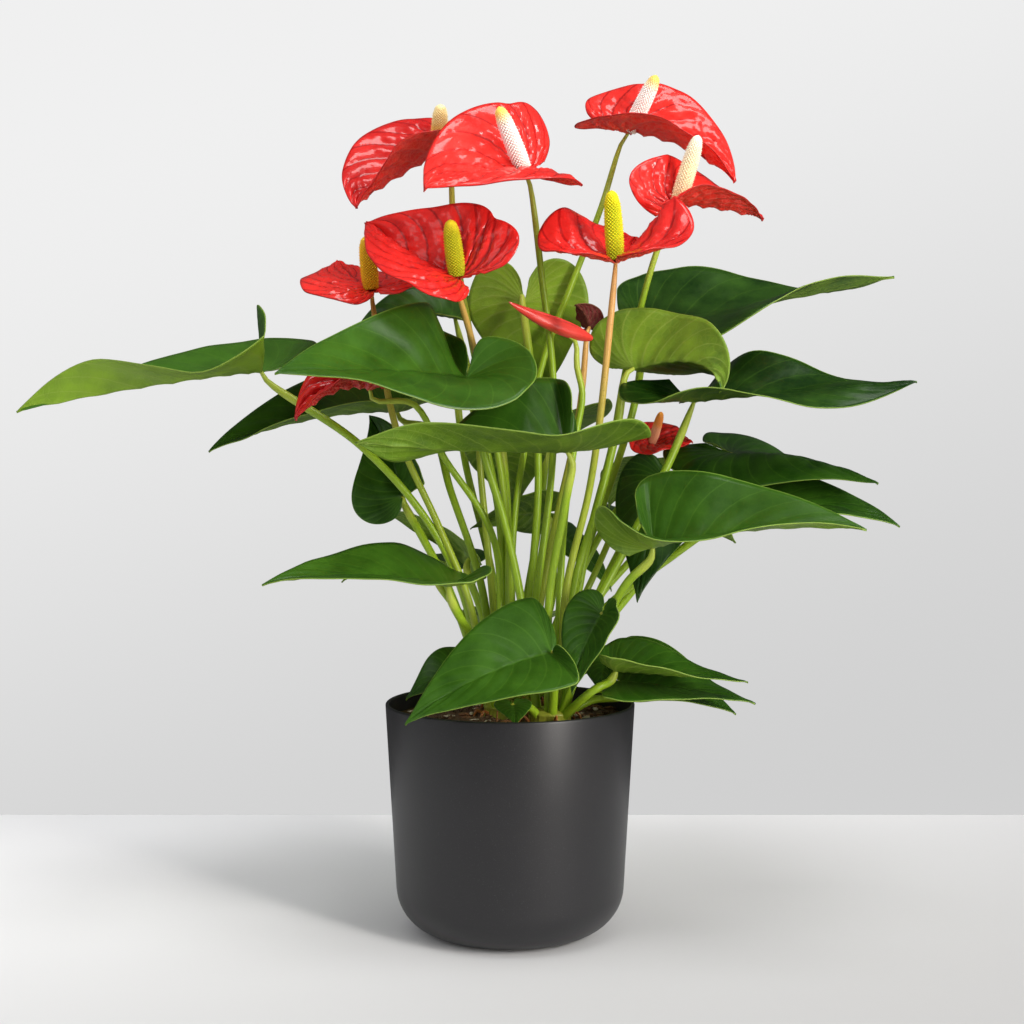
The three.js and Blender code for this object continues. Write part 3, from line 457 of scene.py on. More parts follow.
def leaf_relief(k, v, side, pitch, reach, x, y, seed):
    """Sunken veins, slightly raised between them, and a gentle wave along the margin."""
    share = vein_share(k, v, LEAF_VEINS, LEAF_BEND)
    room = min(1, pitch / LEAF_VEINS / 14)
    height = 1.2 * room * math.sin(math.pi * share) ** 0.8 * (1 - v ** 6)
    height -= 0.8 * math.exp(-((v * reach / 2.2) ** 2))
    swell = noise.noise(Vector((x * 0.035 + seed[0], y * 0.035, seed[1])))
    wave = noise.noise(Vector((k * 9 + seed[0], side * 3 + seed[1], v)))
    return height + 1.6 * swell * min(1, v * 3) + 1.8 * wave * v * v * min(1, reach / 30)


def spathe_relief(k, v, side, pitch, reach, x, y, seed):
    """Embossed as anthurium is: deep veins from the joint, and blisters quilted between them."""
    share = vein_share(k, v, SPATHE_VEINS, SPATHE_BEND)
    room = min(1, pitch / SPATHE_VEINS / 10)
    inner = 1 - v ** 8
    height = 2.8 * room * (2 * share) ** 0.5 * inner
    warp = noise.noise(Vector((x * 0.05 + seed[0], y * 0.05, seed[1])))
    near = noise.voronoi(Vector((x / 9 + warp, y / 7, seed[1])))[0]
    height += 2.2 * min(1, (near[1] - near[0]) * 1.3) ** 0.8 * min(1, v * reach / 9) * inner
    height -= 1.1 * math.exp(-((v * reach / 2.0) ** 2))
    wave = noise.noise(Vector((k * 9 + seed[0], side * 3, seed[1])))
    return height + 2.2 * wave * v * v


# ---------------------------------------------------------------- stems

def stem_radius(sizes, share):
    if share < 0.5:
        return sizes["foot"] + (sizes["middle"] - sizes["foot"]) * share / 0.5
    if share < 0.88:
        return sizes["middle"] + (sizes["neck"] - sizes["middle"]) * ((share - 0.5) / 0.38) ** 2
    return sizes["neck"] + (sizes["end"] - sizes["neck"]) * ((share - 0.88) / 0.12) ** 2


def rod(points, radii, tone, resolution=3):
    """A round rod through points, made as a bevelled curve and turned into a closed mesh."""
    bpy.ops.curve.primitive_nurbs_path_add(location=(0, 0, 0))
    path = active()
    path.data.splines.clear()
    line = path.data.splines.new("POLY")
    line.points.add(len(points) - 1)
    for spot, point, radius in zip(line.points, points, radii):
        spot.co = (*(point * MM), 1)
        spot.radius = radius
    path.data.dimensions = "3D"
    path.data.bevel_depth = MM
    path.data.bevel_resolution = resolution
    path.data.use_fill_caps = True
    pick(path)
    bpy.ops.object.convert(target="MESH")
    piece = active()
    sides = len(piece.data.vertices) // len(points)
    count = len(piece.data.vertices)
    scalar(piece, "share", [min(1, (i // sides) / (len(points) - 1)) for i in range(count)])
    scalar(piece, "tone", [tone] * count)
    return piece


def stem_piece(plan, sizes, thickness, tone):
    crown = Vector((*CROWNS[plan["crown"]], 0))
    _, ahead, _, above = rib_frame(plan, 0)
    end = Vector(plan["joint"]) - above * (thickness / 2 + BLADE_GAP - 0.9)
    neck = end - above * NECK - ahead * (NECK / 2)
    inner = [*(Vector(p) for p in reversed(plan["via"])), neck]
    lean = Vector((inner[0].x, inner[0].y, 0)) - crown
    foot = crown + lean.normalized() * min(FOOT_SPREAD, lean.length)
    foot.z = SOIL["top"] + FOOT_RISE
    points = evenly(lambda share: near_spline([foot, *inner, end], share), STEM_RINGS)
    radii = [stem_radius(sizes, i / (STEM_RINGS - 1)) for i in range(STEM_RINGS)]
    return rod(points, radii, tone)


def stump_piece(name):
    """A crown's short stem, ringed with the scars of old leaves."""
    bpy.ops.mesh.primitive_cylinder_add(vertices=28, radius=CROWN["radius"] * MM, location=(0, 0, 0),
                                        depth=(CROWN["height"] + 12) * MM, end_fill_type="NGON")
    piece = active()
    bpy.ops.object.mode_set(mode="EDIT")
    bpy.ops.mesh.select_all(action="SELECT")
    bpy.ops.mesh.bevel(offset=5 * MM, segments=3, affect="EDGES")
    bpy.ops.mesh.subdivide(number_cuts=2)
    bpy.ops.object.mode_set(mode="OBJECT")
    x, y = CROWNS[name]
    for vertex in piece.data.vertices:
        spot = vertex.co / MM
        bump = noise.fractal(spot * 0.18 + Vector((x, y, 0)), 0.8, 2, 4) + 0.6 * math.sin(spot.z * 1.4)
        vertex.co += Vector((spot.x, spot.y, 0)).normalized() * bump * MM
        vertex.co += Vector((x, y, SOIL["top"] + (CROWN["height"] - 12) / 2 - 1)) * MM
    count = len(piece.data.vertices)
    scalar(piece, "share", [0.0] * count)
    scalar(piece, "tone", [0.0] * count)
    return piece


def crown_ends(name):
    """Roots and dry sheath ends round a crown: short tapering rods that bend outwards into the peat."""
    x, y = CROWNS[name]
    ends = []
    for i in range(9):
        angle = 0.7 * i + x * 0.1
        outward = Vector((math.cos(angle), math.sin(angle), 0))
        low = draw.uniform(2, 9)
        start = Vector((x, y, SOIL["top"] + low)) + outward * (CROWN["radius"] - 1)
        knee = start + outward * draw.uniform(4, 8) + UP * draw.uniform(-1, 7)
        end = knee + outward * draw.uniform(3, 7) + UP * (-low - 6)
        points = [spline([start, knee, end], step / 11) for step in range(12)]
        thick = draw.uniform(0.9, 1.7)
        ends.append(rod(points, [thick * (1 - 0.6 * step / 11) for step in range(12)], 2.0))
    return ends


# ---------------------------------------------------------------- flowers

def spadix_piece(flower):
    """A spike covered with florets in a spiral lattice, raised from its surface."""
    around, along = 14, 40  # florets in a ring, and rings, each turned half a floret from the last
    columns, rows = 98, 160
    thin = flower.get("thin", 1)
    joint, tip = Vector(flower["joint"]), Vector(flower["spadix"])
    axis = (tip - joint).normalized()
    foot = joint + axis * SPADIX["rise"]
    east = axis.cross(Vector((0, 1, 0.2))).normalized()
    north = axis.cross(east)
    lean = north * 1.5

    def place(column, row):
        share, angle = row / rows, 2 * math.pi * (column % columns) / columns
        body = SPADIX["radius"] * thin * spline(SPADIX_PROFILE, share).x
        end = min(1, (1 - share) / 0.09)
        body *= math.sqrt(max(0, end * (2 - end)))
        s, t = share * along, (column % columns) / columns * around
        knob = 0.0
        for ring in (math.floor(s), math.floor(s) + 1):
            away = (t + ring / 2) % 1
            away = min(away, 1 - away)
            knob = max(knob, 1 - abs(s - ring) - 2 * away)
        knob *= min(1, (1 - share) / 0.2)
        knobs[column, row] = knob
        centre = foot.lerp(tip, share) + lean * math.sin(math.pi * share)
        radius = max(0, body + thin * (1.9 * knob - 1.0)) if 0 < row < rows else 0  # both ends closed
        return centre + (east * math.cos(angle) + north * math.sin(angle)) * radius

    knobs = {}
    piece, spots = shaped_grid(columns, rows, place)
    scalar(piece, "share", [row / rows for _, row in spots])
    scalar(piece, "knob", [knobs[spot] for spot in spots])
    merge_doubles(piece)
    smooth(piece)
    return piece


def bud_piece():
    """A spathe still rolled round its spadix: a spindle with the free edge wound along it."""
    ends = [Vector(p) for p in BUD["ends"]]
    columns, rows = 48, 90

    def place(column, row):
        share = row / rows
        centre = ends[0].lerp(ends[1], share).lerp(ends[1].lerp(ends[2], share), share)
        ahead = ((ends[1] - ends[0]).lerp(ends[2] - ends[1], share)).normalized()
        east = ahead.cross(UP).normalized()
        north = east.cross(ahead)
        turn = (column % columns) / columns  # the last strip of faces is the step of the free edge
        radius = 0.15 + BUD["radius"] * max(0, math.sin(math.pi * min(1, share ** 0.6))) ** 0.8
        radius *= (0.84 + 0.2 * turn + 0.03 * math.sin(9 * math.pi * turn)) if 0 < row < rows else 0
        angle = 2 * math.pi * turn + 1.4 + 1.6 * share
        return centre + (east * math.cos(angle) + north * math.sin(angle)) * radius

    piece, spots = shaped_grid(columns, rows, place)
    scalar(piece, "share", [row / rows for _, row in spots])
    merge_doubles(piece)
    pick(piece)
    bpy.ops.object.mode_set(mode="EDIT")
    bpy.ops.mesh.select_all(action="SELECT")
    bpy.ops.mesh.normals_make_consistent(inside=False)
    bpy.ops.object.mode_set(mode="OBJECT")
    smooth(piece, 50)
    return piece


# ---------------------------------------------------------------- pot and soil

def side_profile(offset, top, steps):
    """The pot's outer profile, moved inwards by an offset: radius and height from the floor up."""
    slope = math.atan2(POT["rim"] - POT["foot"], POT["height"])
    corner = POT["corner"]
    centre = POT["foot"] - corner * (1 - math.sin(slope)) / math.cos(slope)
    points = []
    for step in range(steps + 1):
        angle = -math.pi / 2 + (math.pi / 2 - slope) * step / steps
        curve = corner - offset
        points.append((centre + curve * math.cos(angle), corner + curve * math.sin(angle)))
    radius, height = points[-1]
    points += [(radius + (z - height) * math.tan(slope), z) for z in (60, 100, top)]
    return points


def pot_piece():
    """The moulded pot, turned from half its section: foot, wall and a thin rounded lip."""
    lip = POT["wall"] / 2
    outer = side_profile(0, POT["height"] - lip, 14)
    inner = side_profile(POT["wall"], POT["height"] - lip, 14)
    middle = (outer[-1][0] + inner[-1][0]) / 2
    crest = [(middle + lip * math.cos(a), POT["height"] - lip + lip * math.sin(a))
             for a in (math.radians(20 * i) for i in range(1, 9))]
    section = [(0, 0), *outer, *crest, *reversed(inner), (0, POT["wall"])]
    bpy.ops.mesh.primitive_circle_add(vertices=len(section), location=(0, 0, 0))
    piece = active()
    for vertex, (radius, z) in zip(piece.data.vertices, section):
        vertex.co = (radius * MM, 0, z * MM)
    bpy.ops.object.mode_set(mode="EDIT")
    bpy.ops.mesh.select_mode(type="EDGE")
    bpy.ops.mesh.select_all(action="DESELECT")
    bpy.ops.object.mode_set(mode="OBJECT")
    # found only now, because a change of mode frees the edges that were there before it
    axis_edge = next(e for e in piece.data.edges if set(e.vertices) == {0, len(section) - 1})
    axis_edge.select = True
    bpy.ops.object.mode_set(mode="EDIT")
    bpy.ops.mesh.delete(type="EDGE")
    bpy.ops.mesh.select_all(action="SELECT")
    bpy.ops.mesh.spin(steps=144, angle=2 * math.pi, center=(0, 0, 0), axis=(0, 0, 1), use_auto_merge=True)
    bpy.ops.mesh.select_mode(type="VERT")
    bpy.ops.mesh.select_all(action="SELECT")
    bpy.ops.mesh.remove_doubles(threshold=1e-5)
    bpy.ops.mesh.normals_make_consistent(inside=False)
    bpy.ops.object.mode_set(mode="OBJECT")
    smooth(piece, 40)
    return piece


def soil_height(x, y):
    """The soil's surface at a place, in millimetres: a low mound, lumpy with crumbs."""
    edge = math.hypot(x, y) / 86
    spot = Vector((x, y, 3.7))
    lumps = noise.fractal(spot * 0.055, 0.7, 2.1, 5) * 2.2 + abs(noise.noise(spot * 0.35)) * 2.4
    return SOIL["top"] + SOIL["mound"] * (1 - edge * edge) + lumps * min(1, (1 - edge) * 8 + 0.25) - 1.2


def soil_piece():
    side = side_profile(POT["wall"] + SOIL["gap"], SOIL["top"], 6)
    section = [(0, side[0][1]), *side]
    rings, edge = 64, side[-1][0]
    columns = 180

    def place(column, row):
        angle = 2 * math.pi * (column % columns) / columns
        if row < len(section):
            radius, z = section[row]
            return Vector((radius * math.cos(angle), radius * math.sin(angle), z))
        radius = edge * (1 - (row - len(section) + 1) / rings)
        x, y = radius * math.cos(angle), radius * math.sin(angle)
        return Vector((x, y, soil_height(x, y)))

    piece, _ = shaped_grid(columns, len(section) - 1 + rings, place)
    merge_doubles(piece)
    smooth(piece)
    return piece


def lump(detail, size, rough, seed):
    """One crumb or chip, in millimetres round the origin."""
    bpy.ops.mesh.primitive_ico_sphere_add(subdivisions=detail, radius=1, location=(0, 0, 0))
    piece = active()
    for vertex in piece.data.vertices:
        bump = 1 + rough * noise.noise(vertex.co * 1.7 + Vector((seed, 0, 0)))
        vertex.co = Vector((vertex.co.x * size[0], vertex.co.y * size[1], vertex.co.z * size[2])) * bump
    return piece


def scattered(kinds, places):
    """Copies of a few shapes, each with its own mesh, put at places and joined into one piece."""
    copies = []
    for i, (spot, turn, scale) in enumerate(places):
        kind = kinds[i % len(kinds)]
        copy = kind.copy()
        copy.data = kind.data.copy()
        place = Matrix.Translation(Vector(spot) * MM)
        copy.data.transform(place @ turn.to_4x4() @ Matrix.Scale(scale * MM, 4))
        bpy.context.collection.objects.link(copy)
        copies.append(copy)
    for kind in kinds:
        bpy.data.objects.remove(kind)
    pick(*copies)
    bpy.ops.object.join()
    return active()


# ---------------------------------------------------------------- finishes

EASED = {"interpolation_type": "SMOOTHSTEP"}


def blade_drawing(tree, veins, bend, width, cell):
    """The drawing on a blade, from its own coordinates: masks of side veins, midrib, net and margin."""
    drawing = add(tree, "SeparateXYZ", {0: add(tree, "UVMap", uv_map="UVMap")})
    middle = add(tree, "Math", {0: drawing.outputs[0], 1: 0.5}, operation="SUBTRACT")
    offset = add(tree, "Math", {0: middle}, operation="ABSOLUTE")
    half = add(tree, "Math", {0: offset, 1: 2.0}, operation="MULTIPLY")
    squared = add(tree, "Math", {0: half, 1: 2.0}, operation="POWER")
    lean = add(tree, "Math", {0: squared, 1: -bend}, operation="MULTIPLY")
    turn = add(tree, "Math", {0: drawing.outputs[1], 1: float(veins), 2: lean}, operation="MULTIPLY_ADD")
    nearest = add(tree, "Math", {0: turn, 1: 0.5}, operation="PINGPONG")
    spread = add(tree, "Attribute", attribute_name="spread").outputs["Fac"]
    pitch = add(tree, "Math", {0: spread, 1: float(veins)}, operation="DIVIDE")
    gap = add(tree, "Math", {0: nearest, 1: pitch}, operation="MULTIPLY")
    vein = add(tree, "MapRange", {0: gap, 1: width * 0.3, 2: width, 3: 1.0, 4: 0.0}, **EASED)
    reach = add(tree, "Attribute", attribute_name="reach").outputs["Fac"]
    away = add(tree, "Math", {0: half, 1: reach}, operation="MULTIPLY")
    rib = add(tree, "MapRange", {0: away, 1: width * 0.5, 2: width * 1.8, 3: 1.0, 4: 0.0}, **EASED)
    flat = add(tree, "UVMap", uv_map="Flat")
    net = add(tree, "TexVoronoi", {"Vector": flat, "Scale": 1 / cell}, feature="DISTANCE_TO_EDGE")
    mesh_lines = add(tree, "MapRange", {0: net, 1: 0.02, 2: 0.11, 3: 1.0, 4: 0.0}, **EASED)
    margin = add(tree, "MapRange", {0: half, 1: 0.982, 2: 1.0, 3: 0.0, 4: 1.0}, **EASED)
    return vein, rib, mesh_lines, margin, flat


def mixed(tree, factor, first, second):
    """first turning into second: colours as hex values or links."""
    first, second = (colour(c) if isinstance(c, str) else c for c in (first, second))
    return add(tree, "Mix", {0: factor, 6: first, 7: second}, data_type="RGBA")


def blade_finish(name, dark, light, vein_colour_and_crease_shade, margin_colour, veins, bend, width, cell,
                 vein_and_crease_strength, net_strength, net_colour, roughness, coat, bump, press, specular, mottle=0.5):
    material, tree, shader = new_finish(name, roughness, coat=coat, coat_roughness=0.07, specular=specular)
    vein, rib, net, margin, flat = blade_drawing(tree, veins, bend, width, cell)
    # each piece's tone is partly its own age and partly painted light and shade: lower for pieces lying in
    # shade, higher for lit ones
    tone = add(tree, "Attribute", attribute_name="tone").outputs["Fac"]
    patches = add(tree, "TexNoise", {"Vector": flat, "Scale": 0.03, "Detail": 4.0, "Roughness": 0.55})
    uneven = add(tree, "MapRange", {0: patches, 1: 0.3, 2: 0.7, 3: -mottle / 2, 4: mottle / 2})
    age_and_light = add(tree, "Math", {0: tone, 1: uneven}, operation="ADD", use_clamp=True)
    body = mixed(tree, age_and_light, dark, light)
    netted = mixed(tree, add(tree, "Math", {0: net, 1: net_strength}, operation="MULTIPLY"), body, net_colour)
    # the vein lines are coloured: on leaves with their own paler green, on spathes with a darker red that is
    # painted shade in the sunken vein creases
    lines = add(tree, "Math", {0: vein, 1: rib}, operation="MAXIMUM")
    strength = add(tree, "Math", {0: lines, 1: vein_and_crease_strength}, operation="MULTIPLY")
    veined_and_crease_shaded = mixed(tree, strength, netted, vein_colour_and_crease_shade)
    edged = mixed(tree, margin, veined_and_crease_shaded, margin_colour)
    tree.links.new(edged.outputs[2], shader.inputs["Base Color"])
    grain = add(tree, "TexNoise", {"Vector": flat, "Scale": 1.2, "Detail": 3.0})
    relief = add(tree, "Math", {0: net, 1: -press, 2: grain}, operation="MULTIPLY_ADD")
    bumps = add(tree, "Bump", {"Strength": bump, "Distance": 0.25 * MM, "Height": relief})
    tree.links.new(bumps.outputs[0], shader.inputs["Normal"])
    gloss = add(tree, "MapRange", {0: patches, 1: 0.3, 2: 0.7, 3: roughness - 0.05, 4: roughness + 0.07})
    tree.links.new(gloss.outputs[0], shader.inputs["Roughness"])
    return material


def leaf_finishes():
    """Leathery foliage: the upper side deep green and half glossy with its cuticle's wax, the underside
    duller, paler and netted with raised veins, and lightened further as painted light for the light that
    shines through the leaf, the margin a thin pale line."""
    upper = blade_finish("Leathery leaf, waxed upper side", "#0e2c06", "#4b7c1c", "#5f8a2a", "#6c8c36",
                         LEAF_VEINS, LEAF_BEND, 0.8, 4.5, 0.16, 0.05, "#557a26",
                         0.33, 0.0, 0.2, 0.1, 0.28, 0.35)
    # the underside's greens are its own paler colour made lighter still: painted light standing in for light
    # shining through the leaf
    under = blade_finish("Leathery leaf, dull underside", "#37561a", "#8cb028", "#8ba044", "#7f9838",
                         LEAF_VEINS, LEAF_BEND, 1.1, 4.5, 0.4, 0.18, "#7f9838", 0.45, 0.0, 0.4, 0.6, 0.3)
    margin, tree, shader = new_finish("Leathery leaf, pale margin", 0.5, specular=0.3)
    streaks = add(tree, "TexNoise", {"Vector": add(tree, "UVMap", uv_map="Flat"), "Scale": 0.25})
    tree.links.new(mixed(tree, streaks, "#5f7d2c", "#869a40").outputs[2], shader.inputs["Base Color"])
    return [upper, under, margin]


def spathe_finishes():
    """Waxy spathe: a red so glossy that it looks varnished, with embossed veins whose darker red is partly
    painted shade in their creases, paler and duller below, where the red is lightened further as painted
    light to make up for the underside's shade, and thin enough for light to glow through."""
    # the dark vein colour here is painted shade in the sunken vein creases as well as the veins' deeper red
    upper = blade_finish("Waxy spathe, varnished upper side", "#a00610", "#f2322a", "#8a040c", "#c81c18",
                         SPATHE_VEINS, SPATHE_BEND, 1.9, 3.6, 0.62, 0.06, "#e02018",
                         0.30, 0.5, 0.35, 0.5, 0.25)
    # the underside's reds are lightened beyond its own paler red: painted light for an underside that lies in
    # shade
    under = blade_finish("Waxy spathe, satin underside", "#b40c18", "#fc4030", "#f08878", "#c03028",
                         SPATHE_VEINS, SPATHE_BEND, 0.8, 3.6, 0.25, 0.22, "#f49080",
                         0.38, 0.1, 0.5, 0.8, 0.35)
    for side in (upper, under):
        skin = side.node_tree.nodes["Principled BSDF"]
        skin.inputs["Subsurface Weight"].default_value = 0.2
        skin.inputs["Subsurface Radius"].default_value = (1.0, 0.2, 0.12)
        skin.inputs["Subsurface Scale"].default_value = 2 * MM
    margin, tree, shader = new_finish("Waxy spathe, thin margin", 0.35, specular=0.3)
    streaks = add(tree, "TexNoise", {"Vector": add(tree, "UVMap", uv_map="Flat"), "Scale": 0.2})
    tree.links.new(mixed(tree, streaks, "#8c1410", "#c8302a").outputs[2], shader.inputs["Base Color"])
    return [upper, under, margin]


def withered_finishes():
    """A spent spathe: dry and papery, its red gone brown."""
    body = blade_finish("Withered spathe, papery", "#4a1414", "#84302a", "#5c3a26", "#6b4a30", SPATHE_VEINS,
                        SPATHE_BEND, 1.2, 2.4, 0.5, 0.3, "#3c1410", 0.7, 0.0, 1.0, 0.8, 0.3)
    return [body, body, body]


def stem_finish():
    """Green stems, smooth and a little waxed: paler at the neck, tan on old stalks, and brown where they
    are the dry ends of roots and sheaths."""
    material, tree, shader = new_finish("Smooth green stem", 0.36, specular=0.4)
    share = add(tree, "Attribute", attribute_name="share").outputs["Fac"]
    tone = add(tree, "Attribute", attribute_name="tone").outputs["Fac"]
    spot = add(tree, "TexCoord").outputs["Object"]
    drawn_out = add(tree, "Mapping", {0: spot, "Scale": (260.0, 260.0, 14.0)})
    streaks = add(tree, "TexNoise", {"Vector": drawn_out, "Detail": 3.0})
    green = mixed(tree, streaks, "#6f9214", "#98b42a")
    neck = add(tree, "MapRange", {0: share, 1: 0.86, 2: 0.95, 3: 0.0, 4: 0.75}, **EASED)
    pale = mixed(tree, neck, green, "#b0bc48")
    brown = mixed(tree, streaks, "#b88440", "#e0a868")
    old = add(tree, "MapRange", {0: share, 1: 0.55, 2: 0.97, 3: 0.15, 4: 1.0}, **EASED)
    aged = mixed(tree, add(tree, "Math", {0: tone, 1: old}, operation="MULTIPLY"), pale, brown)
    foot = add(tree, "MapRange", {0: share, 1: 0.0, 2: 0.10, 3: 0.6, 4: 0.0}, **EASED)
    greened = mixed(tree, foot, aged, "#8a7a34")
    dry = add(tree, "MapRange", {0: tone, 1: 1.2, 2: 1.8, 3: 0.0, 4: 1.0})
    based = mixed(tree, dry, greened, mixed(tree, streaks, "#6e3814", "#b8763a").outputs[2])
    speckle = add(tree, "TexNoise", {"Vector": spot, "Scale": 900.0, "Detail": 1.0})
    specks = add(tree, "MapRange", {0: speckle, 1: 0.66, 2: 0.72, 3: 0.0, 4: 0.45})
    tree.links.new(mixed(tree, specks, based, "#6e6a2a").outputs[2], shader.inputs["Base Color"])
    bumps = add(tree, "Bump", {"Strength": 0.25, "Distance": 0.2 * MM, "Height": streaks})
    tree.links.new(bumps.outputs[0], shader.inputs["Normal"])
    return material


def spadix_finish(name, gap_shade, foot, body, tip, tip_from):
    """Florets packed on a spike: matt, ripening from the foot up, with painted shade darkening the gaps
    between their knobs.
    """
    material, tree, shader = new_finish(name, 0.55, specular=0.3)
    share = add(tree, "Attribute", attribute_name="share").outputs["Fac"]
    low = add(tree, "MapRange", {0: share, 1: 0.0, 2: 0.3, 3: 0.0, 4: 1.0}, **EASED)
    high = add(tree, "MapRange", {0: share, 1: tip_from, 2: min(1.0, tip_from + 0.22), 3: 0.0, 4: 1.0},
               **EASED)
    spike = mixed(tree, high, mixed(tree, low, foot, body), tip)
    knob = add(tree, "Attribute", attribute_name="knob").outputs["Fac"]
    # painted shade in the hollows between the florets' knobs, fading out near the tip
    gap = add(tree, "MapRange", {0: knob, 1: 0.05, 2: 0.45, 3: 0.85, 4: 0.0}, **EASED)
    below = add(tree, "MapRange", {0: share, 1: 0.7, 2: 0.95, 3: 1.0, 4: 0.0})
    shade = add(tree, "Math", {0: gap, 1: below}, operation="MULTIPLY")
    florets = mixed(tree, shade, spike, gap_shade)
    spot = add(tree, "TexCoord").outputs["Object"]
    grains = add(tree, "TexNoise", {"Vector": spot, "Scale": 700.0, "Detail": 2.0})
    uneven = add(tree, "MapRange", {0: grains, 1: 0.35, 2: 0.7, 3: 0.0, 4: 0.15})
    tree.links.new(mixed(tree, uneven, florets, foot).outputs[2], shader.inputs["Base Color"])
    bumps = add(tree, "Bump", {"Strength": 0.3, "Distance": 0.2 * MM, "Height": grains})
    tree.links.new(bumps.outputs[0], shader.inputs["Normal"])
    return material


def pot_finish():
    """Moulded polypropylene, anthracite: satin, with a fine spark-eroded grain and a few dusty specks."""
    material, tree, shader = new_finish("Polypropylene, anthracite, fine grained", 0.4, ior=1.49)
    spot = add(tree, "TexCoord").outputs["Object"]
    cloud = add(tree, "TexNoise", {"Vector": spot, "Scale": 18.0, "Detail": 3.0})
    dust = add(tree, "TexNoise", {"Vector": spot, "Scale": 1400.0, "Detail": 0.0})
    specks = add(tree, "MapRange", {0: dust, 1: 0.70, 2: 0.78, 3: 0.0, 4: 0.12})
    body = mixed(tree, cloud, "#19191b", "#1f1e20")
    tree.links.new(mixed(tree, specks, body, "#5a5a5c").outputs[2], shader.inputs["Base Color"])
    # the grain is about 0.4 mm, and is drawn at 0.8 mm to show
    grain = add(tree, "TexNoise", {"Vector": spot, "Scale": 1250.0, "Detail": 2.0})
    bumps = add(tree, "Bump", {"Strength": 0.35, "Distance": 0.12 * MM, "Height": grain})
    tree.links.new(bumps.outputs[0], shader.inputs["Normal"])
    return material


def peat_finish():
    """Damp peat: nearly black-brown, matt, with lighter fibres and crumbs."""
    material, tree, shader = new_finish("Peat with fibres", 0.95)
    spot = add(tree, "TexCoord").outputs["Object"]
    crumbs = add(tree, "TexNoise", {"Vector": spot, "Scale": 260.0, "Detail": 6.0, "Roughness": 0.7})
    drawn_out = add(tree, "Mapping", {0: spot, "Scale": (900.0, 120.0, 300.0)})
    fibres = add(tree, "TexNoise", {"Vector": drawn_out, "Detail": 3.0})
    pale = add(tree, "MapRange", {0: fibres, 1: 0.60, 2: 0.74, 3: 0.0, 4: 0.6})
    earth = mixed(tree, crumbs, "#2c1e14", "#7a5c40")
    tree.links.new(mixed(tree, pale, earth, "#a88a62").outputs[2], shader.inputs["Base Color"])
    bumps = add(tree, "Bump", {"Strength": 0.9, "Distance": 1.0 * MM, "Height": crumbs})
    tree.links.new(bumps.outputs[0], shader.inputs["Normal"])
    return material


def wood_finish(name, dark, light, roughness=0.85):
    """Split wood and bark: matt, with the grain along each chip."""
    material, tree, shader = new_finish(name, roughness)
    spot = add(tree, "TexCoord").outputs["Object"]
    drawn_out = add(tree, "Mapping", {0: spot, "Scale": (500.0, 120.0, 500.0)})
    grain = add(tree, "TexNoise", {"Vector": drawn_out, "Detail": 4.0})
    tree.links.new(mixed(tree, grain, dark, light).outputs[2], shader.inputs["Base Color"])
    bumps = add(tree, "Bump", {"Strength": 0.5, "Distance": 0.3 * MM, "Height": grain})
    tree.links.new(bumps.outputs[0], shader.inputs["Normal"])
    return material


# ---------------------------------------------------------------- studio

camera_data = bpy.data.cameras.new("Camera")
camera_data.lens = 53.68  # with the 36 mm sensor, 1527 px across the photograph's 1024
camera_data.clip_end = 20
camera = bpy.data.objects.new("Camera", camera_data)
camera.location = Vector((1.4, -1100, 338)) * MM
camera.rotation_euler = (math.radians(90 - 1.92), 0, 0)
bpy.context.collection.objects.link(camera)
bpy.context.scene.camera = camera


def softbox(name, spot, target, width, height, power, tint=(1, 1, 1)):
    """A rectangular soft light at a spot in metres, aimed at a target."""
    data = bpy.data.lights.new(name, "AREA")
    data.shape = "RECTANGLE"
    data.size, data.size_y = width, height
    data.energy = power
    data.color = tint
    light = bpy.data.objects.new(name, data)
    light.location = spot
    light.rotation_euler = (Vector(spot) - Vector(target)).to_track_quat("Z", "Y").to_euler()
    bpy.context.collection.objects.link(light)


softbox("Key", (2.7, -2.5, 2.55), (0, 0, 0.35), 0.8, 1.0, 66, (1, 0.99, 0.97))
softbox("Strip", (0.86, -0.98, 0.44), (0, 0, 0.1), 0.16, 0.7, 13, (1, 0.95, 0.9))
softbox("Fill", (-1.7, -1.3, 1.4), (0, 0, 0.3), 1.2, 1.2, 6)
softbox("Top", (0.1, -0.5, 2.0), (0, 0, 0.3), 0.7, 0.7, 12)

world = bpy.data.worlds.new("Pale studio")
world.use_nodes = True
sky = world.node_tree
direction = add(sky, "SeparateXYZ", {0: add(sky, "TexCoord").outputs["Generated"]})
slope = {0: direction.outputs[0], 1: -0.32, 2: direction.outputs[2]}
across = add(sky, "Math", slope, operation="MULTIPLY_ADD")
wall = add(sky, "MapRange", {0: across, 1: -0.30, 2: 0.30, 3: 0.0, 4: 1.0}, **EASED)
seen = add(sky, "Background", {0: mixed(sky, wall, "#d0d0d0", "#f0f0f0"), 1: 1.0})
rays = add(sky, "LightPath")
strength = add(sky, "MapRange", {0: rays.outputs["Is Glossy Ray"], 3: 0.72, 4: 0.08})
lit = add(sky, "Background", {0: colour("#f2f2f4"), 1: strength})
both = add(sky, "MixShader", {0: rays.outputs["Is Camera Ray"], 1: lit, 2: seen})
sky.links.new(both.outputs[0], sky.nodes["World Output"].inputs[0])
bpy.context.scene.world = world
bpy.context.scene.view_settings.view_transform = "Standard"

bpy.ops.mesh.primitive_plane_add(size=1, location=(0, 0, 0))
floor = active()
floor.name = "studio_floor"
for vertex in floor.data.vertices:
    vertex.co = (vertex.co.x * 8, 0.348 if vertex.co.y > 0 else -4.0, 0)
floor_paint, floor_tree, floor_shader = new_finish("Matt white studio floor", 0.8)
place = add(floor_tree, "SeparateXYZ", {0: add(floor_tree, "TexCoord").outputs["Object"]})
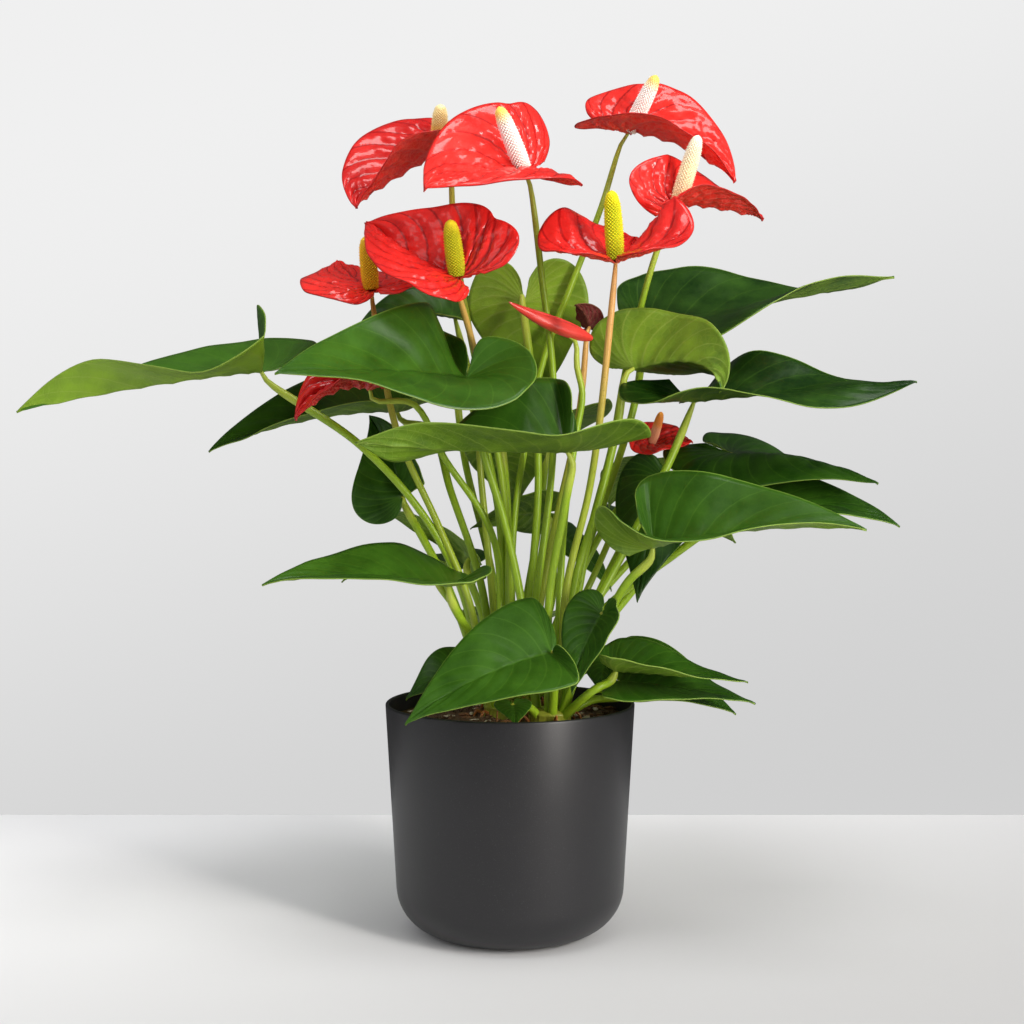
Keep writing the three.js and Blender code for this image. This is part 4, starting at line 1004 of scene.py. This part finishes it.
# painted light: the floor's white turns grey towards the front right, standing in for the uneven light
# falling on it
slant = add(floor_tree, "Math", {0: place.outputs[0], 1: -0.7, 2: place.outputs[1]}, operation="MULTIPLY_ADD")
painted_light_falloff = add(floor_tree, "MapRange", {0: slant, 1: -0.7, 2: 0.6, 3: 0.0, 4: 1.0}, **EASED)
floor_with_painted_falloff = mixed(floor_tree, painted_light_falloff, "#a2a2a2", "#f4f4f4")
floor_tree.links.new(floor_with_painted_falloff.outputs[2], floor_shader.inputs["Base Color"])
floor.data.materials.append(floor_paint)


# ---------------------------------------------------------------- the pot and its soil

settle(pot_piece(), "pot_moulding", pot_finish(), "pot_plastic", "pot")

peat = peat_finish()
settle(soil_piece(), "soil_bed", peat, "peat", "soil")

draw = random.Random(5)


def soil_spots(count, lift, scale, flat=False):
    """Random places on the soil, each with a turn and a size."""
    spots = []
    while len(spots) < count:
        radius, angle = 82 * math.sqrt(draw.random()), draw.uniform(0, 2 * math.pi)
        x, y = radius * math.cos(angle), radius * math.sin(angle)
        size = draw.uniform(*scale)
        turn = Matrix.Rotation(draw.uniform(0, 6.28), 3, "Z")
        tilt = Matrix.Rotation(draw.uniform(-0.35, 0.35) if flat else draw.uniform(0, 6.28), 3, "X")
        spots.append(((x, y, soil_height(x, y) + lift * size), turn @ tilt, size))
    return spots


crumbs = [lump(2, (1.0, 0.85, 0.75), 0.9, seed) for seed in range(4)]
settle(scattered(crumbs, soil_spots(620, 0.25, (0.7, 2.1))), "soil_crumbs", peat, "peat")
chips = [lump(2, (3.4, 1.3, 0.55), 0.5, 10 + seed) for seed in range(3)]
pale_wood = wood_finish("Split wood chips, weathered", "#a08e70", "#e4d8c0")
settle(scattered(chips, soil_spots(64, 0.7, (0.8, 1.9), True)), "soil_wood_chips", pale_wood, "peat")
bark = [lump(2, (2.6, 1.9, 0.8), 0.6, 20 + seed) for seed in range(3)]
bark_wood = wood_finish("Pine bark, red brown", "#4a2e1c", "#9a6a40")
settle(scattered(bark, soil_spots(110, 0.6, (0.8, 2.0), True)), "soil_bark", bark_wood, "peat")

# ---------------------------------------------------------------- crowns, petioles and stalks

BUD_STALK = {**BUD, "joint": [42.5, -3.5, 427]}  # it runs a little way into the bud
STALK_TONES = {"middle_right": 1.0, "middle_left": 0.8, "left": 0.7, "small_right": 0.4, "top_left": 0.2}
stem_green = stem_finish()
for crown in CROWNS:
    stems = [stump_piece(crown)]
    for name, leaf in LEAVES.items():
        if leaf["crown"] == crown:
            stems.append(stem_piece(leaf, PETIOLE, LEAF_THICKNESS, 0.0))
    for name, flower in FLOWERS.items():
        if flower["crown"] == crown:
            stems.append(stem_piece(flower, STALK, SPATHE_THICKNESS, STALK_TONES.get(name, 0.0)))
    for plan, tone in ((BUD_STALK, 0.0), (WITHERED, 0.9)):
        if plan["crown"] == crown:
            stems.append(stem_piece(plan, STALK, SPATHE_THICKNESS, tone))
    stems += crown_ends(crown)
    pick(*stems)
    bpy.ops.object.join()
    grown = active()
    smooth(grown, 60)
    settle(grown, f"petioles_{crown}", stem_green, "petiole", f"stems_{crown}")

# ---------------------------------------------------------------- leaves

# each leaf's tone: partly its own age, partly painted light and shade, lower for leaves that lie in shade
LEAF_TONES = {
    "far_left": 0.6, "left_big": 0.35, "front_middle": 0.3, "centre_back": 0.6, "right_light": 0.42,
    "back_right": 0.17, "right": 0.05, "right_mid": 0.15, "right_behind": 0.2, "right_front": 0.35,
    "right_glossy": 0.1, "low_left": 0.4, "low_left_behind": 0.3, "front_low": 0.35}
LEAF_GRID, SMALL_LEAF_GRID, SPATHE_GRID = (64, 14), (40, 9), (92, 26)  # rows, and columns of a half
leaf_sides = leaf_finishes()
for name, leaf in LEAVES.items():
    rows, columns = LEAF_GRID if leaf["length"] > 70 else SMALL_LEAF_GRID
    blade = blade_piece(leaf, LEAF_OUTLINE, rows, columns, LEAF_THICKNESS, leaf_relief, leaf_sides)
    scalar(blade, "tone", [LEAF_TONES.get(name, 0.25)] * len(blade.data.vertices))
    settle(blade, f"leaf_blade_{name}", None, "leaf", f"leaf_{name}")

# ---------------------------------------------------------------- flowers

# each spathe's tone: partly its own red, partly painted light and shade, raised for spathes that came out dim
# under the lamps
SPATHE_TONES = {
    "top_right": 0.85, "upper_right": 0.7, "middle_right": 0.6, "top_centre": 0.85, "top_left": 0.5,
    "middle_left": 0.62, "left": 0.95, "hidden_left": 0.1, "small_right": 0.5}
spathe_sides = spathe_finishes()
# each spadix's first colour is the painted shade in the gaps between its florets
white = spadix_finish("Spadix, fresh white florets", "#efe6da", "#f4ece2", "#fbf8f2", "#fbd452", 0.72)
cream = spadix_finish("Spadix, cream florets", "#efd49a", "#fbe6b4", "#fdf0cc", "#f7f0d8", 0.5)
SPADIX_FINISHES = {
    "top_right": white, "top_centre": white, "upper_right": cream,
    "top_left": spadix_finish("Spadix, cream over yellow", "#c88c1e", "#f5c040", "#fad470", "#fcebb0", 0.45),
    "middle_right": spadix_finish("Spadix, ripening green", "#7f9a06", "#c4c81a", "#e0d81c", "#f0dc10", 0.7),
    "middle_left": spadix_finish("Spadix, ripe olive green", "#6f8206", "#b8b414", "#cfc41c", "#e4cc24", 0.7),
    "left": spadix_finish("Spadix, golden", "#b4700a", "#e8b818", "#f6cc28", "#fad040", 0.7),
    "small_right": spadix_finish("Spadix, young and rosy", "#d07850", "#f0a884", "#f8b88c", "#f8a038", 0.45)}
for name, flower in FLOWERS.items():
    blade = blade_piece(flower, SPATHE_OUTLINE, *SPATHE_GRID, SPATHE_THICKNESS, spathe_relief, spathe_sides)
    scalar(blade, "tone", [SPATHE_TONES[name]] * len(blade.data.vertices))
    settle(blade, f"spathe_blade_{name}", None, "spathe", f"spathe_{name}")
    if "spadix" in flower:
        finish = SPADIX_FINISHES[name]
        settle(spadix_piece(flower), f"spadix_spike_{name}", finish, "spadix", f"spadix_{name}")

bud_red, bud_tree, bud_shader = new_finish("Waxy spathe, rolled in bud", 0.25, coat=0.5)
bud_spot = add(bud_tree, "TexCoord").outputs["Object"]
sheen = add(bud_tree, "TexNoise", {"Vector": bud_spot, "Scale": 90.0, "Detail": 3.0})
bud_tree.links.new(mixed(bud_tree, sheen, "#d42a24", "#f2564a").outputs[2], bud_shader.inputs["Base Color"])
settle(bud_piece(), "bud_spindle", bud_red, "spathe", "bud")

spent = blade_piece(WITHERED, SPATHE_OUTLINE, 48, 14, SPATHE_THICKNESS, spathe_relief, withered_finishes())
scalar(spent, "tone", [0.5] * len(spent.data.vertices))
settle(spent, "withered_spathe", None, "withered", "withered_bloom")
